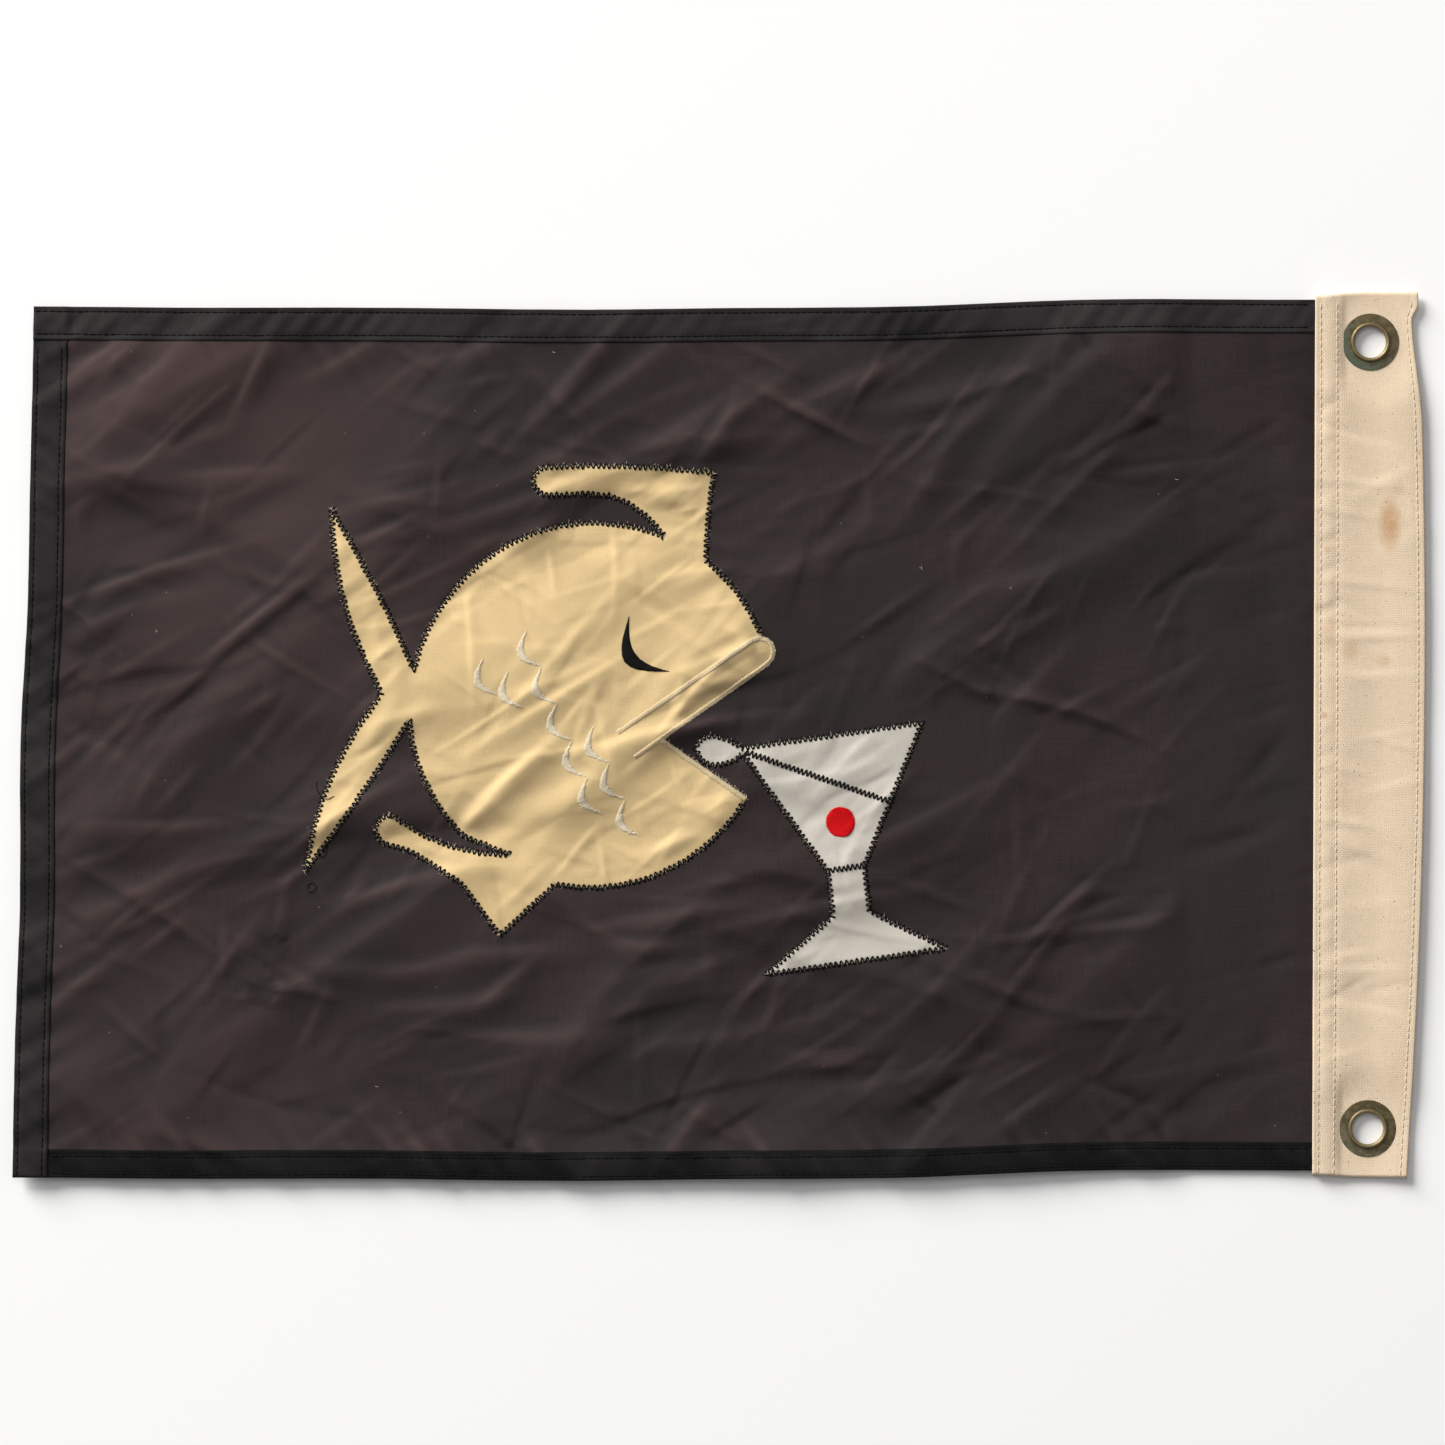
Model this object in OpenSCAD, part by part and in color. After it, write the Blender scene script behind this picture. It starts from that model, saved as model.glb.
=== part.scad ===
// Small flat boat flag: a hemmed nylon field sewn into a folded canvas heading with two brass
// grommets, and two sewn-on cloth patches. It lies face up. The fly edge is at -X, the heading is
// at +X and folds over the field along its inner edge. The origin is under the middle of the flag.

/* [Field] */
// Length of the nylon field from its fly edge to the heading
fly_length = 454; // [400:1:600]
// Height of the field, hem to hem
hoist_height = 305; // [280:1:420]
// Thickness of one ply of nylon
nylon_ply = 0.15; // [0.1:0.05:0.3]

/* [Hems] */
// Width of the hem along the top edge
top_hem_width = 11.8; // [8:0.2:20]
// Width of the hem along the fly edge
fly_hem_width = 12.3; // [8:0.1:20]
// Width of the hem along the bottom edge
bottom_hem_width = 10; // [8:0.2:20]
// Distance of the outer stitch row from the flag's edge
outer_row_inset = 1.6; // [1:0.1:2.5]
// Distance of the inner stitch row from the hem's inner edge
inner_row_inset = 2.2; // [1:0.1:3]

/* [Heading] */
// Width of the canvas heading
heading_width = 38; // [32:1:60]
// How far the heading stands past the field at each end
heading_overhang = 1.5; // [0:0.5:4]
// Thickness of one ply of canvas
canvas_ply = 0.5; // [0.3:0.05:0.8]
// Width of the canvas edges turned in at the seam
turn_in = 8.8; // [8.6:0.2:14]
// Width of the field's edge that is caught inside the heading
seam_allowance_width = 8.4; // [8.3:0.1:12]
// Distance of the first seam row from the heading's inner edge
edge_row_inset = 2.1; // [1:0.1:4]
// Distance of the second seam row from the heading's inner edge
second_row_inset = 7.9; // [5:0.1:8.1]
// Distance of the hoist row from the heading's outer edge
hoist_row_inset = 2.5; // [1.5:0.5:5]

/* [Grommets] */
// Diameter of the hole through a grommet
grommet_hole_d = 11; // [9:0.5:14]
// Diameter of a grommet's flange and washer
grommet_flange_d = 20; // [18:0.5:26]
// Wall of a grommet's barrel
grommet_wall = 0.5; // [0.4:0.05:0.6]
// Thickness of the flange and of the washer
grommet_plate = 0.5; // [0.4:0.05:0.7]
// Thickness of the lip that is rolled over the washer
lip_roll = 1.5; // [1.2:0.1:1.6]
// Distance between the two grommets
grommet_spacing = 275.5; // [230:0.5:390]
// Distance of the grommets from the heading's outer edge
grommet_hoist_inset = 18.5; // [13:0.5:24]

/* [Thread] */
// Width of a row of lockstitches
row_width = 0.5; // [0.3:0.1:0.8]
// Height of the thread above the cloth
thread_rise = 0.15; // [0.1:0.05:0.3]
// Width of the zigzag that covers a patch's edge
zigzag_width = 2.4; // [1.5:0.1:3]
// Width of the satin stitching along the lips and the jaw
satin_width = 1.7; // [1.2:0.1:2.5]
// Height of the embroidery above its patch
satin_rise = 0.35; // [0.2:0.05:0.6]

/* [Fish patch] */
// Thickness of the patch cloth
patch_ply = 0.35; // [0.2:0.05:0.6]
// Middle of the fish's body from the middle of the field, along the fly
fish_x = -27; // [-60:1:20]
// Middle of the fish's body from the middle of the field, along the hoist
fish_y = 14; // [-20:1:30]
// Radius of the fish's round body
fish_radius = 64; // [52:1:76]
// Angle of each jaw from the horizontal
jaw_angle = 35; // [28:1:42]
// Distance of the corner of the mouth from the middle of the body
mouth_corner = [25, -11.5];
// Width of the upper lip
lip_width = 10; // [7:0.5:12]
// How far the lip's stitching runs back past the corner of the mouth
lip_tail = 12; // [6:1:16]
// Width of the tail where it leaves the body
tail_root = 18; // [14:1:24]
// How far the tail's tips reach behind the body
tail_reach = 33; // [24:1:44]
// Distance of each tip of the tail from its middle line
tail_spread = 64; // [48:1:74]
// How far the notch of the tail lies behind the body
tail_notch = 10; // [8:1:20]
// How far the tail's rear edges bulge
tail_bulge = 4.5; // [3:0.5:7]
// Height of the back fin
back_fin_height = 31; // [20:1:38]
// How far the back fin sweeps back
back_fin_sweep = 59; // [40:1:66]
// Radius of the back fin's rounded end
back_fin_end_r = 5; // [3.5:0.5:6]
// How far the back fin's rounded end stands above its front corner
back_fin_rise = 2; // [0:0.5:4]
// How far the belly fin sweeps back
belly_fin_sweep = 42; // [30:1:50]
// Radius of the belly fin's rounded end
belly_fin_end_r = 5.5; // [3.5:0.5:6]
// How far the belly fin's rounded end lies above the back of its root
belly_fin_rise = 8.5; // [4:0.5:12]
// How far the belly fin's point hangs below the body
belly_fin_drop = 22; // [16:1:28]

/* [Fish embroidery] */
// Upper tip of the eye from the middle of the body
eye_at = [12.5, 31];
// Length of the eye from tip to tip
eye_length = 24; // [16:1:28]
// Length of one scale
scale_length = 14; // [10:0.5:16]
// Thickness of a scale at its middle
scale_thickness = 2.8; // [1.5:0.1:3]

/* [Glass patch] */
// Foot of the bowl from the middle of the field, along the fly
glass_x = 63; // [40:0.5:90]
// Foot of the bowl from the middle of the field, along the hoist
glass_y = -44; // [-60:0.5:-30]
// Lean of the glass
glass_tilt = 7; // [0:1:15]
// Width of the glass at its rim
rim_width = 65; // [52:1:78]
// Height of the bowl
bowl_height = 47; // [38:1:58]
// Width of the stem
stem_width = 13; // [9:0.2:16]
// Height of the stem
stem_height = 16; // [12:1:22]
// Width of the foot
foot_width = 64; // [50:1:76]
// Height of the foot
foot_height = 17; // [12:1:22]
// Height on the bowl where the line of the drink meets its side
drink_height = 21; // [12:1:36]
// Length and width of the drop at the rim
drop_size = [16, 10];
// Diameter of the cherry
cherry_d = 10.5; // [8:0.5:14]
// Height of the cherry above the foot of the bowl
cherry_height = 16.4; // [12:0.1:24]

/* [Clearances] */
// Gap between the field and the heading along the fold
fold_gap = 0.6; // [0.4:0.1:1]
// Space between the barrel and the canvas around it
barrel_clear = 0.1; // [0.05:0.05:0.3]
// Space around a flange or washer where it is pressed into the canvas
seat_clear = 0.1; // [0.05:0.05:0.3]

/* [Hidden] */
$fn = 96;

// Places along X
hoist_x = (fly_length + heading_width) / 2;
fly_x = -hoist_x;
seam_x = hoist_x - heading_width;
field_end_x = seam_x - fold_gap;
field_mid_x = (fly_x + seam_x) / 2;
rise_run = 12;
rise_start_x = field_end_x - rise_run;
hem_step_run = 0.6;
grommet_x = hoist_x - grommet_hoist_inset;
fish_mid = [field_mid_x + fish_x, fish_y];

// Places along Y
field_top_y = hoist_height / 2;
heading_end_y = field_top_y + heading_overhang;
grommet_y = grommet_spacing / 2;

// Heights
heading_bottom_z = 0.3;
seat_sink = 0.2;
inner_gap = 0.05;
ramp_run = 0.6;
seam_lift = heading_bottom_z + 2 * canvas_ply;
flat_top_z = heading_bottom_z + 2 * canvas_ply + inner_gap;
seam_top_z = seam_lift + nylon_ply + 2 * canvas_ply;
hem_height = 2 * nylon_ply;
hem_top_z = nylon_ply + hem_height;
patch_top_z = nylon_ply + patch_ply;
flange_top_z = heading_bottom_z + seat_sink;
washer_bottom_z = flat_top_z - seat_sink;
washer_top_z = washer_bottom_z + grommet_plate;
lip_mid_z = washer_top_z + 0.1;

// Grommet radii
hole_r = grommet_hole_d / 2;
barrel_r = hole_r + grommet_wall;
flange_r = grommet_flange_d / 2;
seat_r = flange_r + seat_clear;
washer_fit = 0.05;
rounding = grommet_plate / 2;

// The cloth is cut slightly clear of the ends of what it is folded around
allowance_end_clear = 2;
cut_depth = 20;

// ---- Plane geometry ----

function unit(v) = v / norm(v);
function heading_to(angle) = [cos(angle), sin(angle)];
function left_of(v) = [-v[1], v[0]];
function arc(mid, r, a, b, n) = [for (i = [0:n]) mid + r * heading_to(a + (b - a) * i / n)];

// Points from p to q on a shallow curve that bulges to the left by rise, without q itself
function bow(p, q, rise, n) =
    [for (i = [0:n - 1]) p + (q - p) * i / n + left_of(unit(q - p)) * rise * sin(180 * i / n)];

// Distance along a ray from p in the direction d to a circle of radius r about the origin
function reach(p, d, r) = -p * d + sqrt(pow(p * d, 2) - p * p + r * r);

// Sum of the two normals at point i of a path, which points along the mitre
function mitre(path, i, closed) =
    let (
        last = len(path) - 1,
        before = i > 0 ? path[i] - path[i - 1] : path[0] - path[last],
        after = i < last ? path[i + 1] - path[i] : path[0] - path[last],
        first = !closed && i == 0 ? after : before,
        second = !closed && i == last ? before : after
    ) left_of(unit(first)) + left_of(unit(second));

// A path moved to its left by d, with its sharp corners cut back to the limit
function moved(path, d, closed, limit) =
    [for (i = [0:len(path) - 1])
        let (m = mitre(path, i, closed)) path[i] + m * 2 * d / max(m * m, limit)];

// Outline of a band of width w along an open path
function band(path, w) = concat(
    moved(path, -w / 2, false, 1),
    [for (i = [len(path) - 1:-1:0]) moved(path, w / 2, false, 1)[i]]
);

// Crescent between two tips, with the bulge of its outer and of its inner edge
function crescent(p, q, outer, inner, n) = concat(bow(p, q, -outer, n), bow(q, p, inner, n));

// ---- Strips that run along X or along Y ----

// Section between a path and the same path raised by t
function strip(path, t) = concat(
    path,
    [for (i = [len(path) - 1:-1:0]) path[i] + [0, t]]
);

// Path at height z that climbs to the seam, with a step over the fly hem where step is set
function along_field(z, step) = concat(
    step > 0
        ? [
            [fly_x, z + step],
            [fly_x + fly_hem_width, z + step],
            [fly_x + fly_hem_width + hem_step_run, z]
        ]
        : [[fly_x, z]],
    [[rise_start_x, z], [field_end_x, z + seam_lift]]
);

module along_y(low_y, high_y) {
    translate([0, high_y, 0])
        rotate([90, 0, 0])
        linear_extrude(high_y - low_y)
        children();
}

module along_x(low_x, high_x) {
    translate([low_x, 0, 0])
        rotate([90, 0, 90])
        linear_extrude(high_x - low_x)
        children();
}

module from_height(z, t) {
    translate([0, 0, z])
        linear_extrude(t)
        children();
}

// ---- Field ----

module field_cloth() {
    color("#423837")
        along_y(-field_top_y, field_top_y)
        polygon(strip(along_field(0, 0), nylon_ply));
}

// The top hem lies over the end of the fly hem
module top_hem() {
    color("#282826")
        along_y(field_top_y - top_hem_width, field_top_y)
        polygon(strip(along_field(nylon_ply, hem_height), hem_height));
}

// The fly hem lies over the end of the bottom hem
module fly_hem() {
    path = [
        [-field_top_y, nylon_ply + hem_height],
        [-field_top_y + bottom_hem_width, nylon_ply + hem_height],
        [-field_top_y + bottom_hem_width + hem_step_run, nylon_ply],
        [field_top_y, nylon_ply]
    ];
    color("#282826")
        along_x(fly_x, fly_x + fly_hem_width)
        polygon(strip(path, hem_height));
}

module bottom_hem() {
    color("#282826")
        along_y(-field_top_y, -field_top_y + bottom_hem_width)
        polygon(strip(along_field(nylon_ply, 0), hem_height));
}

module row_along_x(y, z, step, start_x) {
    color("#141414")
        intersection() {
            along_y(y - row_width / 2, y + row_width / 2)
                polygon(strip(along_field(z, step), thread_rise));
            translate([start_x, -hoist_height, -cut_depth])
                cube([fly_length, 2 * hoist_height, 2 * cut_depth]);
        }
}

module row_along_y(x) {
    path = [
        [-field_top_y, hem_top_z + hem_height],
        [-field_top_y + bottom_hem_width, hem_top_z + hem_height],
        [-field_top_y + bottom_hem_width + hem_step_run, hem_top_z],
        [field_top_y - top_hem_width - seat_clear, hem_top_z]
    ];
    color("#141414")
        along_x(x - row_width / 2, x + row_width / 2)
        polygon(strip(path, thread_rise));
}

module top_hem_outer_row() {
    row_along_x(field_top_y - outer_row_inset, hem_top_z, hem_height, fly_x);
}

module top_hem_inner_row() {
    row_along_x(field_top_y - top_hem_width + inner_row_inset, hem_top_z, hem_height, fly_x);
}

module fly_hem_outer_row() {
    row_along_y(fly_x + outer_row_inset);
}

module fly_hem_inner_row() {
    row_along_y(fly_x + fly_hem_width - inner_row_inset);
}

module bottom_hem_outer_row() {
    row_along_x(-field_top_y + outer_row_inset, hem_top_z, 0, fly_x + fly_hem_width + hem_step_run);
}

module bottom_hem_inner_row() {
    row_along_x(
        -field_top_y + bottom_hem_width - inner_row_inset,
        hem_top_z, 0, fly_x + fly_hem_width + hem_step_run
    );
}

// ---- Fish patch, drawn about the middle of its body ----

lip_r = lip_width / 2;
lip_end = mouth_corner + lip_r * left_of(heading_to(jaw_angle))
    + heading_to(jaw_angle) * reach(
        mouth_corner + lip_r * left_of(heading_to(jaw_angle)),
        heading_to(jaw_angle), fish_radius - lip_r / 2
    );
jaw_end = mouth_corner
    + heading_to(-jaw_angle) * reach(mouth_corner, heading_to(-jaw_angle), fish_radius);
brow_angle = atan2(lip_end[1], lip_end[0]) + asin(1.5 * lip_r / fish_radius);
chin_angle = 360 + atan2(jaw_end[1], jaw_end[0]);
back_fin_front = 52;
back_fin_back = 67;
tail_axis = 177;
tail_half = asin(tail_root / 2 / fish_radius);
belly_fin_front = 259;
belly_fin_back = 242;
belly_notch_depth = 4.5;

function on_body(angle) = fish_radius * heading_to(angle);
function behind(distance, side) =
    heading_to(tail_axis) * (fish_radius + distance) - left_of(heading_to(tail_axis)) * side;

// The fin's front edge stands up, and its blade sweeps back to a rounded end
function back_fin() =
    let (
        front = on_body(back_fin_front),
        corner = front + [2.4, back_fin_height],
        tip = corner + [-back_fin_sweep, back_fin_rise - back_fin_end_r],
        root = on_body(back_fin_back)
    ) concat(
        bow(front, corner, 0.6, 3),
        bow(corner, tip + [0, back_fin_end_r], -1.2, 5),
        arc(tip, back_fin_end_r, 90, 270, 6),
        bow(tip + [back_fin_end_r, -back_fin_end_r], root, 6.5, 5)
    );

function belly_fin() =
    let (
        root = (fish_radius - belly_notch_depth) * heading_to(belly_fin_back),
        tip = root + [-belly_fin_sweep, belly_fin_rise],
        point = on_body(belly_fin_front) + [-19, -belly_fin_drop + 4]
    ) concat(
        bow(root, tip + [0, belly_fin_end_r], 4, 4),
        arc(tip, belly_fin_end_r, 90, 270, 6),
        bow(tip + [0, -belly_fin_end_r] + [6, -1.5], point + [-5, 11], 1, 3),
        [point]
    );

function tail() = concat(
    bow(on_body(tail_axis - tail_half), behind(tail_reach, tail_spread), -1, 4),
    bow(behind(tail_reach, tail_spread), behind(tail_notch, 0), -tail_bulge, 5),
    bow(behind(tail_notch, 0), behind(tail_reach, -tail_spread), -tail_bulge, 5),
    bow(behind(tail_reach, -tail_spread), on_body(tail_axis + tail_half), -1, 4)
);

// Angle left free of points before a sharp corner, so that the zigzag's edges don't cross there
corner_space = 8;

// Edge of the patch from the brow round the back to the chin
back_edge = concat(
    arc([0, 0], fish_radius, brow_angle, back_fin_front - corner_space, 3),
    back_fin(),
    arc([0, 0], fish_radius, back_fin_back, tail_axis - tail_half - corner_space, 13),
    tail(),
    arc([0, 0], fish_radius, tail_axis + tail_half, belly_fin_back - 2 * corner_space, 6),
    belly_fin(),
    arc([0, 0], fish_radius, belly_fin_front, chin_angle, 10)
);
lip_edge = arc(lip_end, lip_r, jaw_angle - 90, 80, 6);
fish_outline = concat(back_edge, [mouth_corner], lip_edge);

// Stitching round the lip: back along its upper line, round its end and past the mouth's corner
lip_path = concat(
    [mouth_corner + (lip_width + 0.5) * left_of(heading_to(jaw_angle)) - lip_tail * heading_to(jaw_angle)],
    [for (i = [6:-1:0]) arc(lip_end, lip_r, jaw_angle - 90, jaw_angle + 90, 6)[i]],
    [mouth_corner - lip_tail * heading_to(jaw_angle)]
);

// Stitching along the jaw, just inside the patch's edge
jaw_in = -satin_width / 2 * left_of(heading_to(-jaw_angle));
jaw_path = [mouth_corner + jaw_in, jaw_end + jaw_in];

module on_fish() {
    translate([fish_mid[0], fish_mid[1], 0])
        children();
}

module fish_cloth() {
    from_height(nylon_ply, patch_ply)
        polygon(fish_outline);
}

module lip_band() {
    from_height(nylon_ply, patch_ply + satin_rise)
        polygon(band(lip_path, satin_width));
}

module jaw_band() {
    from_height(nylon_ply, patch_ply + satin_rise)
        polygon(band(jaw_path, satin_width));
}

module fish_patch() {
    color("#d9be8c")
        on_fish()
        fish_cloth();
}

module fish_edge_zigzag() {
    color("#161412")
        on_fish()
        difference() {
            from_height(nylon_ply, patch_ply + thread_rise)
                polygon(band(back_edge, zigzag_width));
            fish_cloth();
            lip_band();
            jaw_band();
        }
}

module lip_stitching() {
    color("#e6d8bc")
        on_fish()
        difference() {
            lip_band();
            fish_cloth();
        }
}

module jaw_stitching() {
    color("#e6d8bc")
        on_fish()
        difference() {
            jaw_band();
            lip_band();
            fish_cloth();
        }
}

// Chains of scales run down and forward across the body: start of each chain and its scales
scale_chains = [[[-38.5, 16], 1], [[-29.5, 11.5], 1], [[-23.5, 26], 5], [[1, -7.5], 3]];
scale_step = [0.4, -0.92];

module scale_embroidery() {
    color("#e6d8bc")
        on_fish()
        for (chain = scale_chains, i = [0:chain[1] - 1])
            let (start = chain[0] + scale_step * scale_length * i)
                from_height(patch_top_z, satin_rise)
                polygon(crescent(
                    start, start + scale_step * (scale_length - 0.6),
                    scale_length / 4 + scale_thickness, scale_length / 4, 8
                ));
}

module eye_embroidery() {
    color("#161412")
        on_fish()
        from_height(patch_top_z, satin_rise)
        polygon(crescent(
            eye_at, eye_at + eye_length * heading_to(-53),
            0.44 * eye_length, 0.24 * eye_length, 10
        ));
}

// ---- Glass patch, drawn about the foot of its bowl ----

rim_r = rim_width / 2;
stem_r = stem_width / 2;
foot_r = foot_width / 2;
glass_outline = [
    [-stem_r, 0],
    [-stem_r, -stem_height],
    [-foot_r, -stem_height - foot_height],
    [foot_r, -stem_height - foot_height],
    [stem_r, -stem_height],
    [stem_r, 0],
    [rim_r, bowl_height],
    [-rim_r, bowl_height]
];

// The drop tapers towards the rim, and hangs level with it
drop_taper = 0.3;
drop_slope = 0.16;
drop_overlap = 1.2;
drop_outline = [for (i = [0:23])
    let (
        x = drop_size[0] / 2 * (cos(15 * i) - 1) + drop_overlap,
        half_width = drop_size[1] / 2 * sin(15 * i) * (1 - drop_taper * cos(15 * i))
    ) [x - rim_r, bowl_height - 1 - drop_slope * x + half_width]
];
drink_end = [stem_r + (rim_r - stem_r) * drink_height / bowl_height, drink_height];

module on_glass() {
    translate([field_mid_x + glass_x, glass_y, 0])
        rotate(glass_tilt)
        children();
}

module glass_cloth() {
    union() {
        from_height(nylon_ply, patch_ply)
            polygon(glass_outline);
        from_height(nylon_ply, patch_ply)
            polygon(drop_outline);
    }
}

module edge_ring(outline) {
    difference() {
        from_height(nylon_ply, patch_ply + thread_rise)
            polygon(moved(outline, -zigzag_width / 2, true, 1));
        from_height(0, cut_depth)
            polygon(moved(outline, zigzag_width / 2, true, 0.1));
    }
}

module glass_edges() {
    union() {
        edge_ring(glass_outline);
        edge_ring(drop_outline);
    }
}

module glass_patch() {
    color("#d3d0c8")
        on_glass()
        glass_cloth();
}

module glass_edge_zigzag() {
    color("#161412")
        on_glass()
        difference() {
            glass_edges();
            glass_cloth();
        }
}

module line_zigzag(path) {
    color("#161412")
        on_glass()
        difference() {
            from_height(patch_top_z, thread_rise)
                polygon(band(path, zigzag_width));
            glass_edges();
        }
}

module drink_line_zigzag() {
    line_zigzag([[-rim_r + 2, bowl_height - 2], drink_end]);
}

module stem_line_zigzag() {
    line_zigzag([[-stem_r, 0], [stem_r, 0]]);
}

module cherry_embroidery() {
    color("#c80818")
        on_glass()
        translate([0, cherry_height, patch_top_z])
        cylinder(d = cherry_d, h = satin_rise);
}

// ---- Heading ----

// Space that the flanges and washers take out of the canvas and its stitching
module grommet_seats() {
    for (y = [-grommet_y, grommet_y])
        translate([grommet_x, y, 0]) {
            translate([0, 0, -cut_depth])
                cylinder(r = barrel_r + barrel_clear, h = 2 * cut_depth);
            translate([0, 0, -cut_depth])
                cylinder(r = seat_r, h = cut_depth + flange_top_z);
            translate([0, 0, washer_bottom_z])
                cylinder(r = seat_r, h = cut_depth);
        }
}

// One strip of canvas folded along the hoist edge, with both edges turned in at the seam
module heading_tape() {
    ply_r = (flat_top_z - heading_bottom_z) / 2;
    fold_mid = [hoist_x - ply_r, heading_bottom_z + ply_r];
    section = concat(
        [[seam_x, heading_bottom_z]],
        arc(fold_mid, ply_r, -90, 90, 10),
        [
            [seam_x + turn_in + ramp_run, flat_top_z],
            [seam_x + turn_in, seam_top_z],
            [seam_x, seam_top_z],
            [seam_x, seam_top_z - 2 * canvas_ply],
            [seam_x + turn_in, seam_top_z - 2 * canvas_ply],
            [seam_x + turn_in, seam_top_z - canvas_ply],
            [seam_x + turn_in + ramp_run, flat_top_z - canvas_ply],
            [fold_mid[0], flat_top_z - canvas_ply],
            [fold_mid[0], heading_bottom_z + canvas_ply],
            [seam_x + turn_in, heading_bottom_z + canvas_ply],
            [seam_x + turn_in, seam_lift],
            [seam_x, seam_lift]
        ]
    );
    color("#e3d0b0")
        difference() {
            along_y(-heading_end_y, heading_end_y)
                polygon(section);
            grommet_seats();
        }
}

module seam_allowance() {
    color("#423837")
        difference() {
            translate([seam_x, -field_top_y + allowance_end_clear, seam_lift])
                cube([seam_allowance_width, hoist_height - 2 * allowance_end_clear, nylon_ply]);
            grommet_seats();
        }
}

// Needle thread on the face of the heading and bobbin thread under it
module heading_row(x, face_z) {
    color("#efe9dc")
        difference() {
            for (z = [face_z, heading_bottom_z - thread_rise])
                translate([x - row_width / 2, -heading_end_y, z])
                    cube([row_width, 2 * heading_end_y, thread_rise]);
            grommet_seats();
        }
}

module seam_edge_row() {
    heading_row(seam_x + edge_row_inset, seam_top_z);
}

module seam_second_row() {
    heading_row(seam_x + second_row_inset, seam_top_z);
}

module hoist_row() {
    heading_row(hoist_x - hoist_row_inset, flat_top_z);
}

// Barrel with a flange below, and its top edge rolled over the washer
module grommet(y) {
    lip_r_mid = hole_r + lip_roll / 2;
    section = concat(
        arc([hole_r + rounding, rounding], rounding, 180, 270, 5),
        arc([flange_r - rounding, rounding], rounding, -90, 0, 5),
        [[flange_r, flange_top_z], [barrel_r, flange_top_z], [barrel_r, washer_top_z]],
        [[hole_r + lip_roll, washer_top_z]],
        arc([lip_r_mid, lip_mid_z], lip_roll / 2, 0, 180, 12)
    );
    color("#7c6a48")
        translate([grommet_x, y, 0])
        rotate_extrude()
        polygon(section);
}

module washer(y) {
    section = concat(
        [[barrel_r + washer_fit, washer_bottom_z], [flange_r - rounding / 2, washer_bottom_z]],
        arc([flange_r - rounding, washer_bottom_z + rounding], rounding, -60, 60, 4),
        [[hole_r + lip_roll + 0.6, washer_top_z], [barrel_r + washer_fit, washer_top_z]]
    );
    color("#8a764e")
        translate([grommet_x, y, 0])
        rotate_extrude()
        polygon(section);
}

module upper_grommet() {
    grommet(grommet_y);
}

module upper_washer() {
    washer(grommet_y);
}

module lower_grommet() {
    grommet(-grommet_y);
}

module lower_washer() {
    washer(-grommet_y);
}

field_cloth();
top_hem();
fly_hem();
bottom_hem();
top_hem_outer_row();
top_hem_inner_row();
fly_hem_outer_row();
fly_hem_inner_row();
bottom_hem_outer_row();
bottom_hem_inner_row();
fish_patch();
fish_edge_zigzag();
lip_stitching();
jaw_stitching();
scale_embroidery();
eye_embroidery();
glass_patch();
glass_edge_zigzag();
drink_line_zigzag();
stem_line_zigzag();
cherry_embroidery();
heading_tape();
seam_allowance();
seam_edge_row();
seam_second_row();
hoist_row();
upper_grommet();
upper_washer();
lower_grommet();
lower_washer();
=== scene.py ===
"""Finishes a small boat flag: creased nylon, folded hems, a canvas heading with aged brass
grommets, two sewn-on patches and every thread that holds them. The flag lies face up."""

import math

import bpy
import numpy as np
from bpy.props import FloatProperty, FloatVectorProperty, PointerProperty
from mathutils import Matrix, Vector, geometry


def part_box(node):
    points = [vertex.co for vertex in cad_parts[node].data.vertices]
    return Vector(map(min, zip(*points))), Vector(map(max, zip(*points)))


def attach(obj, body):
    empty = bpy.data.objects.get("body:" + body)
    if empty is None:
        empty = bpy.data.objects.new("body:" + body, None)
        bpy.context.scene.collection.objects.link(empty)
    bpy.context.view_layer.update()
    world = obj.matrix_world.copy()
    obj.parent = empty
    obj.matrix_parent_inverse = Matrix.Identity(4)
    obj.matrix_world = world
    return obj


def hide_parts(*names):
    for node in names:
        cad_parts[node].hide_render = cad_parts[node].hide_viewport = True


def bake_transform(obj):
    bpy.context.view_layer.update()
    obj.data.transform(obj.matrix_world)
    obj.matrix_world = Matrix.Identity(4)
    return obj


bl_info = {
    "name": "Boat Flag",
    "version": (1, 0, 0),
    "blender": (4, 5, 0),
    "location": "View3D > Sidebar > Boat Flag",
    "description": "Sews up a small boat flag round its packed frame",
    "category": "Object",
}

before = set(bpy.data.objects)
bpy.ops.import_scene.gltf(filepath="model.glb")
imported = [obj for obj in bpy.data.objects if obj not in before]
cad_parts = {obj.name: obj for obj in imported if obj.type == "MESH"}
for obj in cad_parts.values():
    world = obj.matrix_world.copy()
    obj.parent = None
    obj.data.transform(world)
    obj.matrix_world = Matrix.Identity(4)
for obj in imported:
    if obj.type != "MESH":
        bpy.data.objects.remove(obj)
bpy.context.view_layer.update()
MM = 0.001


# ---- Places taken from the frame, in millimetres ----


def box_mm(node):
    """Lowest and highest corner of a node, in millimetres."""
    low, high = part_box(node)
    return np.array(low) / MM, np.array(high) / MM


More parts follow.
